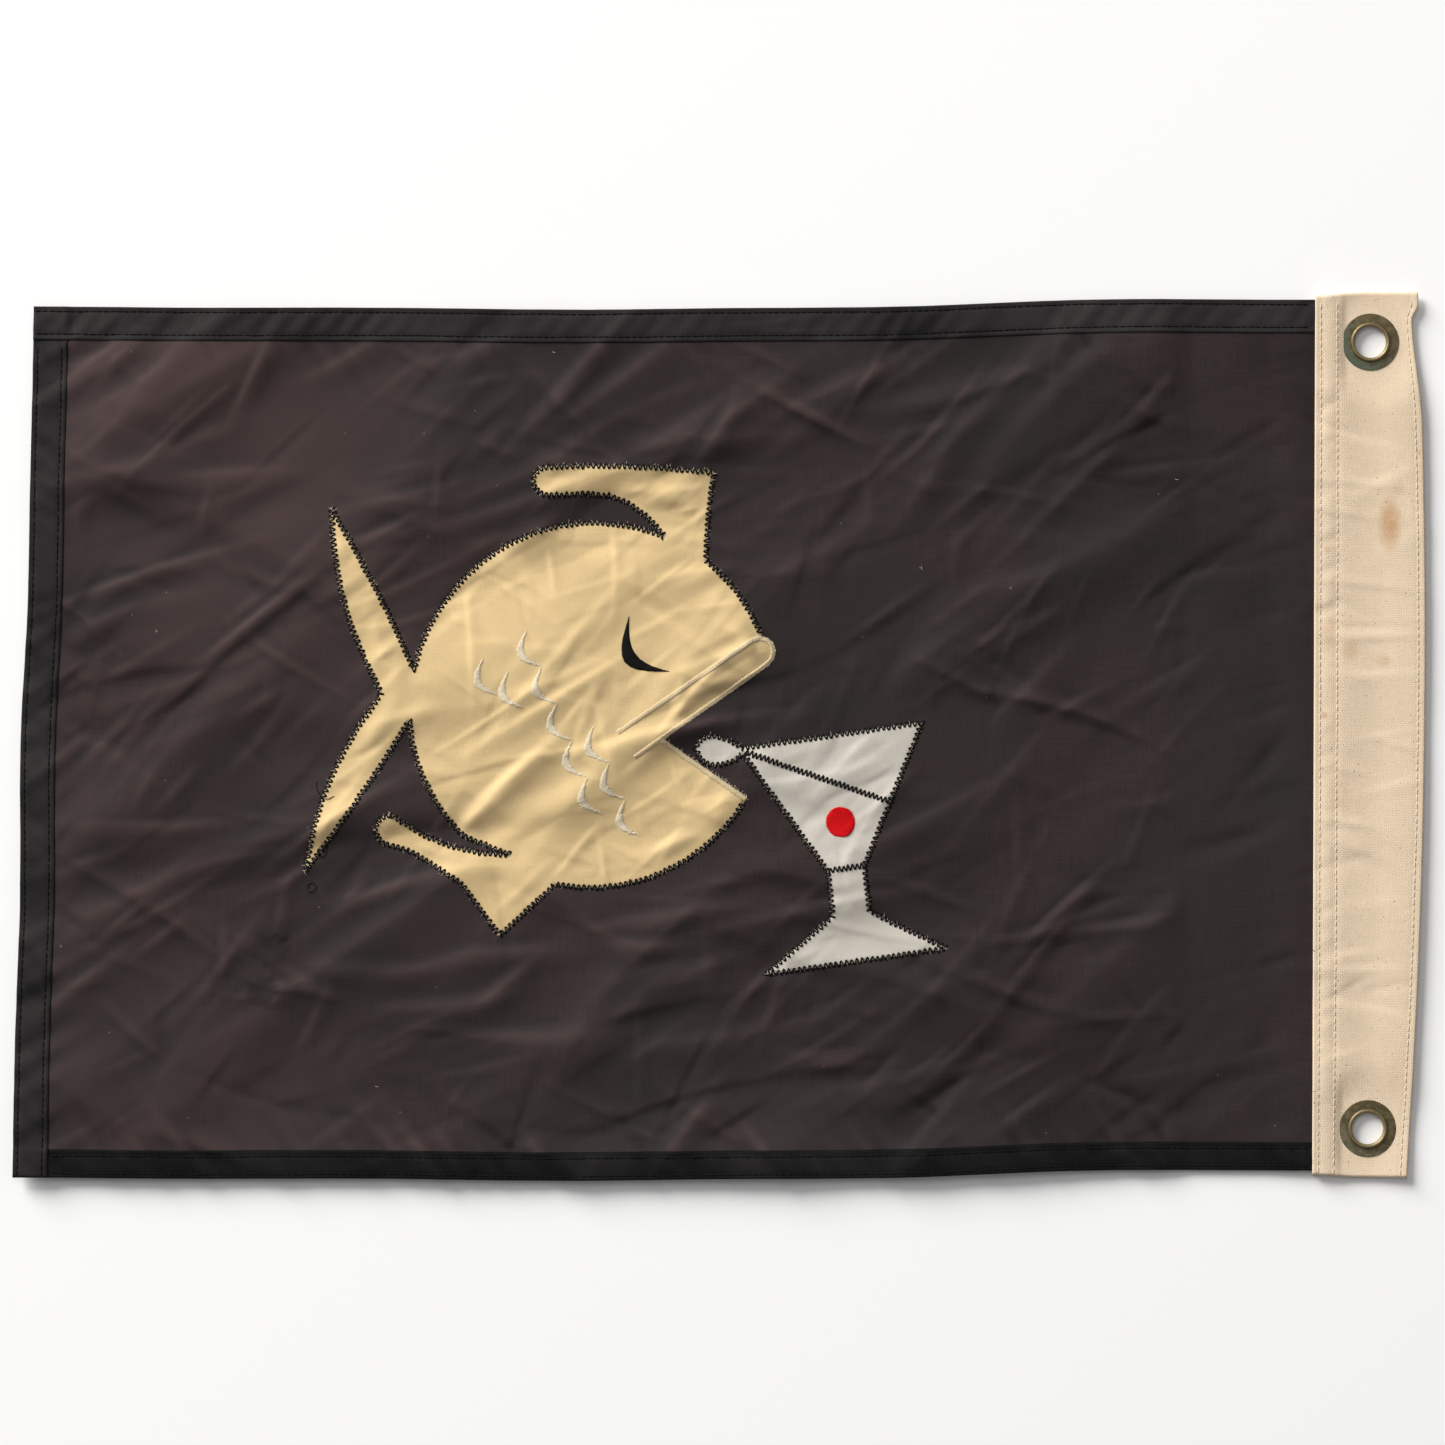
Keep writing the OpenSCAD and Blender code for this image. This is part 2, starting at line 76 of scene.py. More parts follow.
FIELD_LOW, FIELD_HIGH = box_mm("field_cloth")
TAPE_LOW, TAPE_HIGH = box_mm("heading_tape")
FLY_X = FIELD_LOW[0]
SEAM_X = TAPE_LOW[0]
HOIST_X = TAPE_HIGH[0]
HALF_HEIGHT = FIELD_HIGH[1]
HALF_TAPE = TAPE_HIGH[1]
TOP_HEM = HALF_HEIGHT - box_mm("top_hem")[0][1]
BOTTOM_HEM = HALF_HEIGHT + box_mm("bottom_hem")[1][1]
FLY_HEM = box_mm("fly_hem")[1][0] - FLY_X
SEAM_NYLON_Z = box_mm("seam_allowance")[0][2]
SEAM_ALLOWANCE = box_mm("seam_allowance")[1][0] - SEAM_X
PATCH_TOP = box_mm("fish_patch")[1][2]
GROMMETS = [
    (box_mm(node)[0][:2] + box_mm(node)[1][:2]) / 2 for node in ("upper_grommet", "lower_grommet")
]
FLANGE_R = (box_mm("upper_grommet")[1][0] - box_mm("upper_grommet")[0][0]) / 2
PLY = 0.15  # thickness of the nylon
HEM_TOP = 0.6  # height of a hem's upper face
FOLD_START = SEAM_X - 2.4  # where the field begins to bend at the heading
FOLD_FINE_FROM = FOLD_START - 3  # where its points begin to lie closer together
FOLD_STEP = 0.3  # and how close


def smooth(t):
    """Eases from 0 to 1."""
    t = np.clip(t, 0, 1)
    return t * t * (3 - 2 * t)


def wander(s, seed, step):
    """Smooth random curve between -1 and 1, with a new value every step."""
    rng = np.random.default_rng(seed)
    values = rng.uniform(-1, 1, 4096)
    t = np.asarray(s) / step + 2048
    i = np.floor(t).astype(int)
    return values[i] + (values[i + 1] - values[i]) * smooth(t - i)


# ---- Lie of the cloth: how it has pulled out of square, and its folds and creases ----


def warp(x, y):
    """How far the cloth has pulled from its square cut, along X and along Y."""
    v = y / HALF_HEIGHT
    at_fly = 1.9 + 3.0 * v
    at_hoist = 0.9 - 4.2 * v**2 + 1.4 * v
    past_seam = (x - SEAM_X) / (HOIST_X - SEAM_X)
    before_seam = np.clip((SEAM_X - x) / (SEAM_X - FLY_X), 0, 1)
    dx = at_fly * before_seam + at_hoist * smooth(past_seam)
    dy = -4.4 * (1 - smooth((x + 40) / 250))
    bulge = smooth((x - SEAM_X + 3) / 22) * smooth((np.abs(y) - 138) / 16)
    dy = dy + bulge * np.where(y > 0, 1.4, -1.0)
    at_edges = smooth((SEAM_X - x) / 70)
    dy = dy + 0.9 * wander(x, 33, 62) * at_edges * smooth((np.abs(y) - 105) / 45)
    dx = dx + 0.8 * wander(y, 34, 55) * before_seam**2
    upper_corner = smooth((y - 108) / 37) * (1 - smooth((y - 145) / 5))
    drawn_in = 2.4 * upper_corner * smooth((x - HOIST_X + 7) / 7)
    return dx - drawn_in, dy


def crease_table(seed, count, wide, long, high, angles, area):
    """Random creases: middle, direction, half width, half length, height, bend."""
    rng = np.random.default_rng(seed)
    low, high_corner = area
    return [
        (
            rng.uniform(low[0], high_corner[0]),
            rng.uniform(low[1], high_corner[1]),
            math.radians(rng.choice(angles) + rng.normal(0, 9)),
            rng.uniform(*wide),
            rng.uniform(*long),
            rng.uniform(*high) * rng.choice([1, 1, -0.7]),
            rng.normal(0, 0.002),
        )
        for _ in range(count)
    ]


def crease_height(creases, x, y):
    """Sum of the creases: each is a ridge, steep on one side and easy on the other."""
    total = np.zeros_like(x, dtype=float)
    for cx, cy, angle, wide, long, high, bend in creases:
        along = (x - cx) * math.cos(angle) + (y - cy) * math.sin(angle)
        near = np.abs(along) < 2.4 * long
        u = along[near]
        v = (y[near] - cy) * math.cos(angle) - (x[near] - cx) * math.sin(angle) + bend * u * u
        width = np.where(v > 0, wide, 2.3 * wide)
        total[near] += high * np.exp(-((v / width) ** 2) - (u / long) ** 2)
    return total


FIELD_AREA = ((FLY_X, -HALF_HEIGHT), (SEAM_X, HALF_HEIGHT))
TAPE_AREA = ((SEAM_X + 2, -HALF_HEIGHT), (HOIST_X, HALF_HEIGHT))
DIAGONALS = [24, 32, 40, 48, 36, 150]
BROAD = crease_table(11, 44, (5, 13), (30, 105), (0.9, 2.6), DIAGONALS, FIELD_AREA)
MIDDLING = crease_table(
    12, 190, (1.5, 4.2), (10, 38), (0.45, 1.45), DIAGONALS + [12, 160, 5], FIELD_AREA
)
FINE = crease_table(
    13, 460, (0.9, 1.9), (6, 26), (0.14, 0.52), DIAGONALS + [8, 165, 80], FIELD_AREA
)
ACROSS = crease_table(14, 46, (0.7, 2.2), (7, 20), (0.14, 0.5), [0, 6, 170, 14, 160], TAPE_AREA)
GRID_STEP = 0.5
GRID_X = np.arange(FLY_X - 4, HOIST_X + 4, GRID_STEP)
GRID_Y = np.arange(-HALF_TAPE - 4, HALF_TAPE + 4, GRID_STEP)


def build_relief():
    """Height of the lie of the cloth on a fine grid, held low near the seam, which folds."""
    x, y = np.meshgrid(GRID_X, GRID_Y, indexing="ij")
    to_seam = np.clip(SEAM_X - x, 0, None)
    field = crease_height(BROAD, x, y) + crease_height(MIDDLING, x, y) + crease_height(FINE, x, y)
    field -= np.percentile(field, 2)
    field = np.maximum(field, 0.08 * field)
    from_edge = np.minimum(np.minimum(HALF_HEIGHT - np.abs(y), x - FLY_X), 60)
    field *= 0.45 + 0.55 * smooth(from_edge / 26)
    lift = 1.3 + 0.9 * wander(x + 2 * y, 21, 46) + 1.6 * smooth((-y - 90) / 60)
    field += lift * smooth(1 - from_edge / 24)
    pull = 0.85 * wander(y + 0.25 * (SEAM_X - x), 22, 4.2) + 0.45 * wander(y - 0.2 * x, 23, 9)
    field += pull * np.exp(-to_seam / 19)
    hem_pull = 0.4 * wander(x + 0.7 * y, 24, 5.2)
    field += hem_pull * np.exp(-np.clip(HALF_HEIGHT - np.abs(y) - TOP_HEM, 0, None) / 9)
    fly_pull = 0.4 * wander(y - 0.6 * x, 25, 5.5)
    field += fly_pull * np.exp(-np.clip(x - FLY_X - FLY_HEM, 0, None) / 7)
    room = 1.25 + 40 * smooth((SEAM_X - x - 42) / 70)
    field += 0.4 * (1 - smooth((SEAM_X - x - 30) / 40))
    field += 0.3 * wander(y + 0.25 * (SEAM_X - x), 37, 2.6) * np.exp(-to_seam / 11)
    field = room * np.tanh(np.maximum(field, 0) / room)
    tape = 0.5 + 0.35 * wander(y, 26, 31) + 0.12 * wander(y + 0.3 * x, 27, 8)
    tape += (1.6 + 0.8 * wander(y, 29, 40)) * smooth((x - SEAM_X - 12) / 26)
    tape += 0.24 * wander(y - 0.4 * x, 28, 3.4) * np.exp(-(((x - SEAM_X - 5) / 3.2) ** 2))
    tape += crease_height(ACROSS, x, y)
    room = 0.9 + 1.0 * smooth((x - SEAM_X - 9) / 8)
    tape = room * np.tanh(np.maximum(tape, 0) / room)
    for middle in GROMMETS:
        away = np.hypot(x - middle[0], y - middle[1])
        tape *= smooth((away - FLANGE_R) / 16)
    share = smooth((x - SEAM_X + 15) / 15)
    return np.maximum(field * (1 - share) + tape * share, 0)


RELIEF = build_relief()


def relief(x, y):
    """Height of the lie of the cloth at each point."""
    i = np.clip((x - GRID_X[0]) / GRID_STEP, 0, len(GRID_X) - 1.001)
    j = np.clip((y - GRID_Y[0]) / GRID_STEP, 0, len(GRID_Y) - 1.001)
    a, b = i.astype(int), j.astype(int)
    u, v = i - a, j - b
    return (
        RELIEF[a, b] * (1 - u) * (1 - v) + RELIEF[a + 1, b] * u * (1 - v)
        + RELIEF[a, b + 1] * (1 - u) * v + RELIEF[a + 1, b + 1] * u * v
    )


def ground(x, y):
    """Height of the underside of the field's cloth, which climbs to the middle of the heading."""
    return relief(x, y) + SEAM_NYLON_Z * smooth((x - SEAM_X + 17) / 16)


def laid(x, y, height):
    """Points of the lying flag, from flat places on it and heights above the ground."""
    dx, dy = warp(x, y)
    return np.stack([x + dx, y + dy, ground(x, y) + height], axis=-1)


# ---- Sizes and colours ----


def length(name, description, default):
    """Size that a user can change, in metres."""
    return FloatProperty(
        name=name, description=description, default=default, min=default / 4, max=default * 4,
        precision=5, unit="LENGTH",
    )


def colour(name, description, default):
    """Colour that a user can change."""
    return FloatVectorProperty(
        name=name, description=description, default=default, min=0, max=1, size=3, subtype="COLOR",
    )


class FlagSizes(bpy.types.PropertyGroup):
    """Sizes that set how fine the cloth and its stitching are."""

    cloth_step: length("Cloth Step", "Distance between the points of the field's cloth", 0.0011)
    patch_step: length("Patch Step", "Distance between the points of a patch", 0.0009)
    thread: length("Sewing Thread", "Thickness of the sewing thread", 0.00036)
    zigzag_thread: length("Zigzag Thread", "Thickness of the thread round the patches", 0.00058)
    stitch: length("Stitch", "Length of one lockstitch", 0.0024)
    heading_thread: length("Heading Thread", "Thickness of the thread in the heading", 0.0003)
    heading_stitch: length("Heading Stitch", "Length of one lockstitch in the heading", 0.0026)
    zigzag_pitch: length("Zigzag Pitch", "Distance from one zigzag point to the next", 0.00185)
    zigzag_width: length("Zigzag Width", "Width of the zigzag round the patches", 0.0025)
    satin_pitch: length("Satin Pitch", "Distance between threads of satin stitch", 0.00031)
    satin_thread: length("Embroidery Thread", "Thickness of the embroidery thread", 0.00036)


class FlagColours(bpy.types.PropertyGroup):
    """Colours of the cloths, threads and metal."""

    nylon: colour("Nylon", "Field cloth", (0.0345, 0.0282, 0.0287))
    hem: colour("Hem", "Folded edges of the field", (0.0155, 0.0145, 0.0143))
    canvas: colour("Canvas", "Heading", (0.84, 0.67, 0.485))
    yellow: colour("Yellow Cotton", "Fish patch", (0.70, 0.515, 0.265))
    grey: colour("Grey Cotton", "Glass patch", (0.585, 0.54, 0.475))
    black_thread: colour("Black Thread", "Sewing thread and eye", (0.007, 0.0063, 0.006))
    cream_thread: colour("Cream Thread", "Scales, frays of the fish", (0.82, 0.72, 0.54))
    white_thread: colour("White Thread", "Heading, frays of the glass, lint", (0.74, 0.63, 0.48))
    lip_thread: colour("Lip Thread", "Lips and jaw", (0.74, 0.60, 0.375))
    red_thread: colour("Red Thread", "Cherry", (0.68, 0.0005, 0.004))
    brass: colour("Brass", "Worn metal of the grommets", (0.42, 0.31, 0.15))
    patina: colour("Patina", "Brown skin on the metal", (0.115, 0.090, 0.046))
    verdigris: colour("Verdigris", "Green bloom on the metal", (0.085, 0.115, 0.078))


# ---- Meshes ----


def add_mesh(name, points, faces, material, flat=None, tone=None):
    """New piece from points in millimetres, with its flat places and tones kept on the mesh."""
    mesh = bpy.data.meshes.new(name)
    points = np.asarray(points, dtype=float).reshape(-1, 3)
    mesh.from_pydata((points * MM).tolist(), [], faces)
    mesh.polygons.foreach_set("use_smooth", [True] * len(mesh.polygons))
    flat = points[:, :2] if flat is None else np.asarray(flat).reshape(-1, 2)
    places = mesh.attributes.new("flat", "FLOAT_VECTOR", "POINT")
    flat = np.column_stack([flat, np.zeros(len(flat))])
    places.data.foreach_set("vector", flat.ravel().astype(np.float32))
    tones = mesh.attributes.new("tone", "FLOAT", "POINT")
    values = np.full(len(points), 0.5) if tone is None else np.asarray(tone).ravel()
    tones.data.foreach_set("value", values.astype(np.float32))
    mesh.materials.append(material)
    piece = bpy.data.objects.new(name, mesh)
    bpy.context.scene.collection.objects.link(piece)
    return piece


def grid_faces(rows, columns, ring=False):
    """Faces of a grid of points, row by row, closed across its rows if it is a ring."""
    across = columns if ring else columns - 1
    i, j = np.meshgrid(np.arange(rows - 1), np.arange(across), indexing="ij")
    k = (j + 1) % columns
    this, following = i * columns, (i + 1) * columns
    return np.stack([this + j, this + k, following + k, following + j], -1).reshape(-1, 4).tolist()


def tubes(name, paths, radius, material, sides=6):
    """Threads as one mesh. Every path has the same number of points."""
    paths = np.asarray(paths, dtype=float)
    count, rings, _ = paths.shape
    along = np.gradient(paths, axis=1)
    along /= np.linalg.norm(along, axis=2, keepdims=True) + 1e-9
    side = np.cross(along, np.array([0.0, 0.0, 1.0]))
    side /= np.linalg.norm(side, axis=2, keepdims=True) + 1e-9
    up = np.cross(side, along)
    taper = np.ones(rings)
    taper[[0, -1]] = 0.45
    turn = 2 * math.pi * np.arange(sides) / sides
    spokes = side[:, :, None, :] * np.cos(turn)[None, None, :, None]
    spokes = spokes + up[:, :, None, :] * np.sin(turn)[None, None, :, None]
    points = paths[:, :, None, :] + spokes * (radius * taper)[None, :, None, None]
    one = np.array(grid_faces(rings, sides, ring=True))
    starts = np.arange(count)[:, None, None] * rings * sides
    faces = (one[None, :, :] + starts).reshape(-1, 4).tolist()
    first, last = np.arange(sides)[::-1], (rings - 1) * sides + np.arange(sides)
    faces += (starts[:, 0] + first).tolist() + (starts[:, 0] + last).tolist()
    return add_mesh(name, points, faces, material)


def thickened(piece, thickness, offset=-1.0):
    """Gives a sheet its thickness, in millimetres, and applies it."""
    solid = piece.modifiers.new("Thickness", "SOLIDIFY")
    solid.thickness = thickness * MM
    solid.offset = offset
    bpy.context.view_layer.update()
    depsgraph = bpy.context.evaluated_depsgraph_get()
    mesh = bpy.data.meshes.new_from_object(piece.evaluated_get(depsgraph))
    old = piece.data
    piece.modifiers.clear()
    piece.data = mesh
    bpy.data.meshes.remove(old)
    return piece


def on_body(piece, slot, body, *nodes):
    """Makes a piece ride on one body in place of its nodes."""
    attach(piece, body)
    if nodes:
        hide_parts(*nodes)
    return piece


def over_fold(piece, slot, *nodes):
    """Bakes a piece's place into its mesh, in place of its nodes; the piece is already shaped to
    run on into the heading.
    """
    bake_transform(piece)
    if nodes:
        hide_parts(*nodes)
    return piece


# ---- Outlines, read from the flat tops of the frame's own nodes ----


def outlines(node):
    """Closed outlines of the highest flat face of a node, in millimetres."""
    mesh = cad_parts[node].data
    points = np.array([v.co for v in mesh.vertices]) / MM
    top = points[:, 2].max() - 0.01
    keys = [tuple(np.round(p, 3)) for p in points]
    used = {}
    for face in mesh.polygons:
        corners = [keys[i] for i in face.vertices]
        if min(c[2] for c in corners) < top:
            continue
        for a, b in zip(corners, corners[1:] + corners[:1]):
            if (b, a) in used:
                del used[b, a]
            else:
                used[a, b] = True
    follow = {a: b for a, b in used}
    loops = []
    while follow:
        start = min(follow)
        loop = [start]
        while loop[-1] in follow:
            loop.append(follow.pop(loop[-1]))
        loops.append(np.array(loop[:-1])[:, :2])
    return [straightened(loop) for loop in loops if len(loop) > 2]


def outline(node):
    """The outline of a node's top face with the most corners."""
    return max(outlines(node), key=len)


def straightened(loop):
    """The loop without points that lie on a straight stretch or on each other."""
    before = loop - np.roll(loop, 1, axis=0)
    after = np.roll(loop, -1, axis=0) - loop
    turn = np.abs(before[:, 0] * after[:, 1] - before[:, 1] * after[:, 0])
    return loop[turn > 1e-4]


def spaced(path, step, closed=False):
    """Points at even distances along a path, with the direction at each."""
    path = np.vstack([path, path[:1]]) if closed else path
    edge = np.linalg.norm(np.diff(path, axis=0), axis=1)
    run = np.concatenate([[0], np.cumsum(edge)])
    count = max(2, int(round(run[-1] / step)))
    at = np.linspace(0, run[-1], count + 1)
    points = np.column_stack([np.interp(at, run, path[:, k]) for k in range(2)])
    if closed:
        points = points[:-1]
        along = np.roll(points, -1, axis=0) - np.roll(points, 1, axis=0)
    else:
        along = np.gradient(points, axis=0)
    along /= np.linalg.norm(along, axis=1, keepdims=True) + 1e-9
    return points, along


def left_of(along):
    """Directions a quarter turn to the left."""
    return np.column_stack([-along[:, 1], along[:, 0]])


def to_outline(x, y, loop):
    """Distance of each point from a closed outline."""
    best = np.full(np.shape(x), 1e9)
    for a, b in zip(loop, np.roll(loop, -1, axis=0)):
        d = b - a
        t = np.clip(((x - a[0]) * d[0] + (y - a[1]) * d[1]) / (d @ d), 0, 1)
        best = np.minimum(best, np.hypot(x - a[0] - t * d[0], y - a[1] - t * d[1]))
    return best


def inside(x, y, loop):
    """Which points lie inside a closed outline."""
    hit = np.zeros(np.shape(x), dtype=bool)
    for a, b in zip(loop, np.roll(loop, -1, axis=0)):
        if a[1] == b[1]:
            continue
        crosses = (a[1] > y) != (b[1] > y)
        hit ^= crosses & (x < a[0] + (y - a[1]) * (b[0] - a[0]) / (b[1] - a[1]))
    return hit


def signed_area(loop):
    """Area within a closed outline, positive if it runs to the left."""
    x, y = loop.T
    return np.sum(x * np.roll(y, -1) - y * np.roll(x, -1)) / 2


def side_lengths(loop):
    """Length of each side of a closed outline."""
    return np.linalg.norm(np.roll(loop, -1, axis=0) - loop, axis=1)


def widest_pair(loop):
    """Indices of the two points of a loop that are farthest apart."""
    gap = np.linalg.norm(loop[:, None] - loop[None], axis=2)
    return sorted(np.unravel_index(np.argmax(gap), gap.shape))


def middle_line(loop):
    """Ends of the middle line of a narrow straight band."""
    a, b = widest_pair(loop)
    direction = (loop[b] - loop[a]) / np.linalg.norm(loop[b] - loop[a])
    run = (loop - loop.mean(0)) @ direction
    reach = np.ptp(run) * 0.15
    return loop[run < run.min() + reach].mean(0), loop[run > run.max() - reach].mean(0)


# ---- Materials ----


def add_node(tree, kind, inputs=None, **settings):
    """New shader node: each input takes a value or another node's output."""
    made = tree.nodes.new(kind)
    for key, value in settings.items():
        setattr(made, key, value)
    for key, value in (inputs or {}).items():
        if isinstance(value, bpy.types.NodeSocket):
            tree.links.new(value, made.inputs[key])
        else:
            made.inputs[key].default_value = value
    return made


def mixed(tree, factor, first, second):
    """Colour between two colours."""
    made = add_node(tree, "ShaderNodeMix", data_type="RGBA")
    for index, value in ((0, factor), (6, first), (7, second)):
        if isinstance(value, bpy.types.NodeSocket):
            tree.links.new(value, made.inputs[index])
        elif index:
            made.inputs[index].default_value = (*value, 1)
        else:
            made.inputs[index].default_value = value
    return made.outputs[2]


def maths(tree, operation, a, b=0.0):
    """Result of one operation on one or two values."""
    return add_node(tree, "ShaderNodeMath", {0: a, 1: b}, operation=operation).outputs[0]


def times(tree, a, b):
    """Product of two values."""
    return maths(tree, "MULTIPLY", a, b)


def plus(tree, a, b):
    """Sum of two values."""
    return maths(tree, "ADD", a, b)


def washed(tree, hue, mask, share, over):
    """The hue with another colour laid over it where the mask is high, as strongly as the share."""
    return mixed(tree, times(tree, mask, share), hue, over)


def shaded(base, factor):
    """A darker or lighter version of a colour."""
    return [min(1, c * factor) for c in base]


def ramp(tree, value, low, high):
    """0 below low, 1 above high, eased between."""
    return add_node(
        tree, "ShaderNodeMapRange", {0: value, 1: low, 2: high}, interpolation_type="SMOOTHSTEP"
    ).outputs[0]


def noise(tree, place, scale, detail=3.0, roughness=0.5):
    """Cloudy noise around 0.5."""
    inputs = {"Vector": place, "Scale": scale, "Detail": detail, "Roughness": roughness}
    return add_node(tree, "ShaderNodeTexNoise", inputs).outputs["Fac"]


def start_material(name, roughness, specular, sheen=0.0, sheen_roughness=0.5):
    """New material with its shader and the flat places of the cloth, in millimetres."""
    material = bpy.data.materials.new(name)
    material.use_nodes = True
    tree = material.node_tree
    shader = tree.nodes["Principled BSDF"]
    shader.inputs["Roughness"].default_value = roughness
    shader.inputs["Specular IOR Level"].default_value = specular
    shader.inputs["Sheen Weight"].default_value = sheen
    shader.inputs["Sheen Roughness"].default_value = sheen_roughness
    place = add_node(tree, "ShaderNodeAttribute", attribute_name="flat").outputs["Vector"]
    return material, tree, shader, place


def kept_on_mesh(tree, name):
    """Value that a mesh keeps at each of its points."""
    return add_node(tree, "ShaderNodeAttribute", attribute_name=name).outputs["Fac"]


def bumped(tree, shader, height, distance, strength=1.0):
    """Bump in millimetres from a height between 0 and 1."""
    inputs = {"Height": height, "Distance": distance * MM, "Strength": strength}
    bump = add_node(tree, "ShaderNodeBump", inputs)
    tree.links.new(bump.outputs["Normal"], shader.inputs["Normal"])


def weave(tree, place, period):
    """Height of a plain weave: threads along X and Y that cross over each other."""
    wobble = add_node(tree, "ShaderNodeTexNoise", {"Vector": place, "Scale": 0.35, "Detail": 2.0})
    inputs = {0: wobble.outputs["Color"], "Scale": 0.9 * period}
    drift = add_node(tree, "ShaderNodeVectorMath", inputs, operation="SCALE")
    inputs = {0: place, 1: drift.outputs[0]}
    moved = add_node(tree, "ShaderNodeVectorMath", inputs, operation="ADD")
    parts = add_node(tree, "ShaderNodeSeparateXYZ", {0: moved.outputs[0]})
    rate = math.pi / period
    waves = [maths(tree, "SINE", times(tree, parts.outputs[axis], rate)) for axis in (0, 1)]
    crossing = times(tree, *waves)
    rows = [maths(tree, "ABSOLUTE", wave) for wave in waves]
    over = times(tree, maths(tree, "GREATER_THAN", crossing, 0.0), rows[0])
    under = times(tree, maths(tree, "LESS_THAN", crossing, 0.0), rows[1])
    return plus(tree, over, under)


def stretched_place(tree, place, scale):
    """Places with each axis scaled, which draws a noise out into streaks."""
    return add_node(tree, "ShaderNodeMapping", {"Vector": place, "Scale": scale}).outputs[0]


def yarns(tree, place, along, across):
    """Uneven yarns that run along X and along Y."""
    runs = [
        noise(tree, stretched_place(tree, place, scale), 1.0, 3.0, 0.6)
        for scale in ((along, across, 1), (across, along, 1))
    ]
    return times(tree, plus(tree, *runs), 0.5)


# The faded nylon colours also paint highlight on the field's crease ridges and on the top and fly
# hems; the stained one also paints shade in the crease hollows; the shaded hem colour paints the
# bottom hem and the hem folds in shade.
FADED_AND_RIDGE_LIT_NYLON, STAINED_AND_CREASE_SHADED_NYLON = (0.0475, 0.0305, 0.0295), (0.012, 0.009, 0.009)
FADED_AND_LIT_HEM, SHADED_HEM = (0.023, 0.021, 0.021), (0.006, 0.0055, 0.0055)
# Dirt colours, which also serve as painted shade in the patches' crease hollows and along the
# heading's hoist fold and second row.
DIRT_AND_CREASE_SHADE_ON_YELLOW, DIRT_AND_CREASE_SHADE_ON_GREY = (0.47, 0.30, 0.13), (0.38, 0.34, 0.29)
DIRT_AND_FOLD_SHADE_ON_CANVAS = (0.50, 0.34, 0.19)
LINT = (0.3, 0.27, 0.25)
SEED_FLECK, THICK_YARN = (0.20, 0.12, 0.06), (0.60, 0.46, 0.32)
SOILED_CANVAS, RUST = (0.55, 0.47, 0.36), (0.50, 0.25, 0.09)
METAL_DIRT = (0.03, 0.024, 0.015)


def nylon_material(name, base, faded_and_lit, darkest):
    """Thin closely woven nylon: streaky yarns, brown fading and dark old stains by tone, and the
    painted shade and painted highlight that the tone also carries.
    """
    material, tree, shader, place = start_material(name, 0.6, 0.06)
    tone = kept_on_mesh(tree, "tone")
    cloudy = noise(tree, place, 0.012, 4.0, 0.55)
    streaks = yarns(tree, place, 0.08, 3.2)
    hue = mixed(tree, ramp(tree, cloudy, 0.32, 0.68), base, faded_and_lit)
    hue = mixed(tree, ramp(tree, streaks, 0.36, 0.64), shaded(base, 0.82), hue)
    # Low tone: old stains and painted shade.
    hue = mixed(tree, ramp(tree, tone, 0.5, 0.0), hue, darkest)
    # High tone: fading and painted highlight.
    hue = washed(tree, hue, ramp(tree, tone, 0.5, 1.0), 0.55, shaded(faded_and_lit, 1.9))
    specks = ramp(tree, noise(tree, place, 0.5, 0.0), 0.885, 0.91)
    hue = washed(tree, hue, specks, 0.25, LINT)
    tree.links.new(hue, shader.inputs["Base Color"])
    height = plus(tree, times(tree, weave(tree, place, 0.34), 0.6), streaks)
    bumped(tree, shader, height, 0.07, 0.8)
    return material


def cotton_material(name, base, period, depth, dirt_and_shade, roughness=0.85):
    """Dull cotton cloth: a plain weave, uneven yarns, soiling, painted shade in its crease hollows
    and folds and painted highlight on its crease ridges.
    """
    material, tree, shader, place = start_material(name, roughness, 0.15, 0.06, 0.5)
    tone = kept_on_mesh(tree, "tone")
    slubs = yarns(tree, place, 0.25, 2.4)
    threads = weave(tree, place, period)
    cloudy = noise(tree, place, 0.03, 4.0, 0.6)
    hue = mixed(tree, ramp(tree, cloudy, 0.3, 0.7), shaded(base, 0.95), shaded(base, 1.05))
    hue = mixed(tree, ramp(tree, slubs, 0.38, 0.62), shaded(base, 0.93), hue)
    hue = washed(tree, hue, ramp(tree, threads, 0.5, 0.0), 0.15, shaded(base, 0.6))
    # Low tone: soiling and painted shade.
    hue = washed(tree, hue, ramp(tree, tone, 0.5, 0.0), 0.6, dirt_and_shade)
    # High tone: lighter patches and painted highlight.
    hue = washed(tree, hue, ramp(tree, tone, 0.5, 1.0), 0.4, shaded(base, 1.22))
    tree.links.new(hue, shader.inputs["Base Color"])
    height = plus(tree, times(tree, threads, 0.7), times(tree, slubs, 0.8))
    bumped(tree, shader, height, depth, 0.8)
    return material


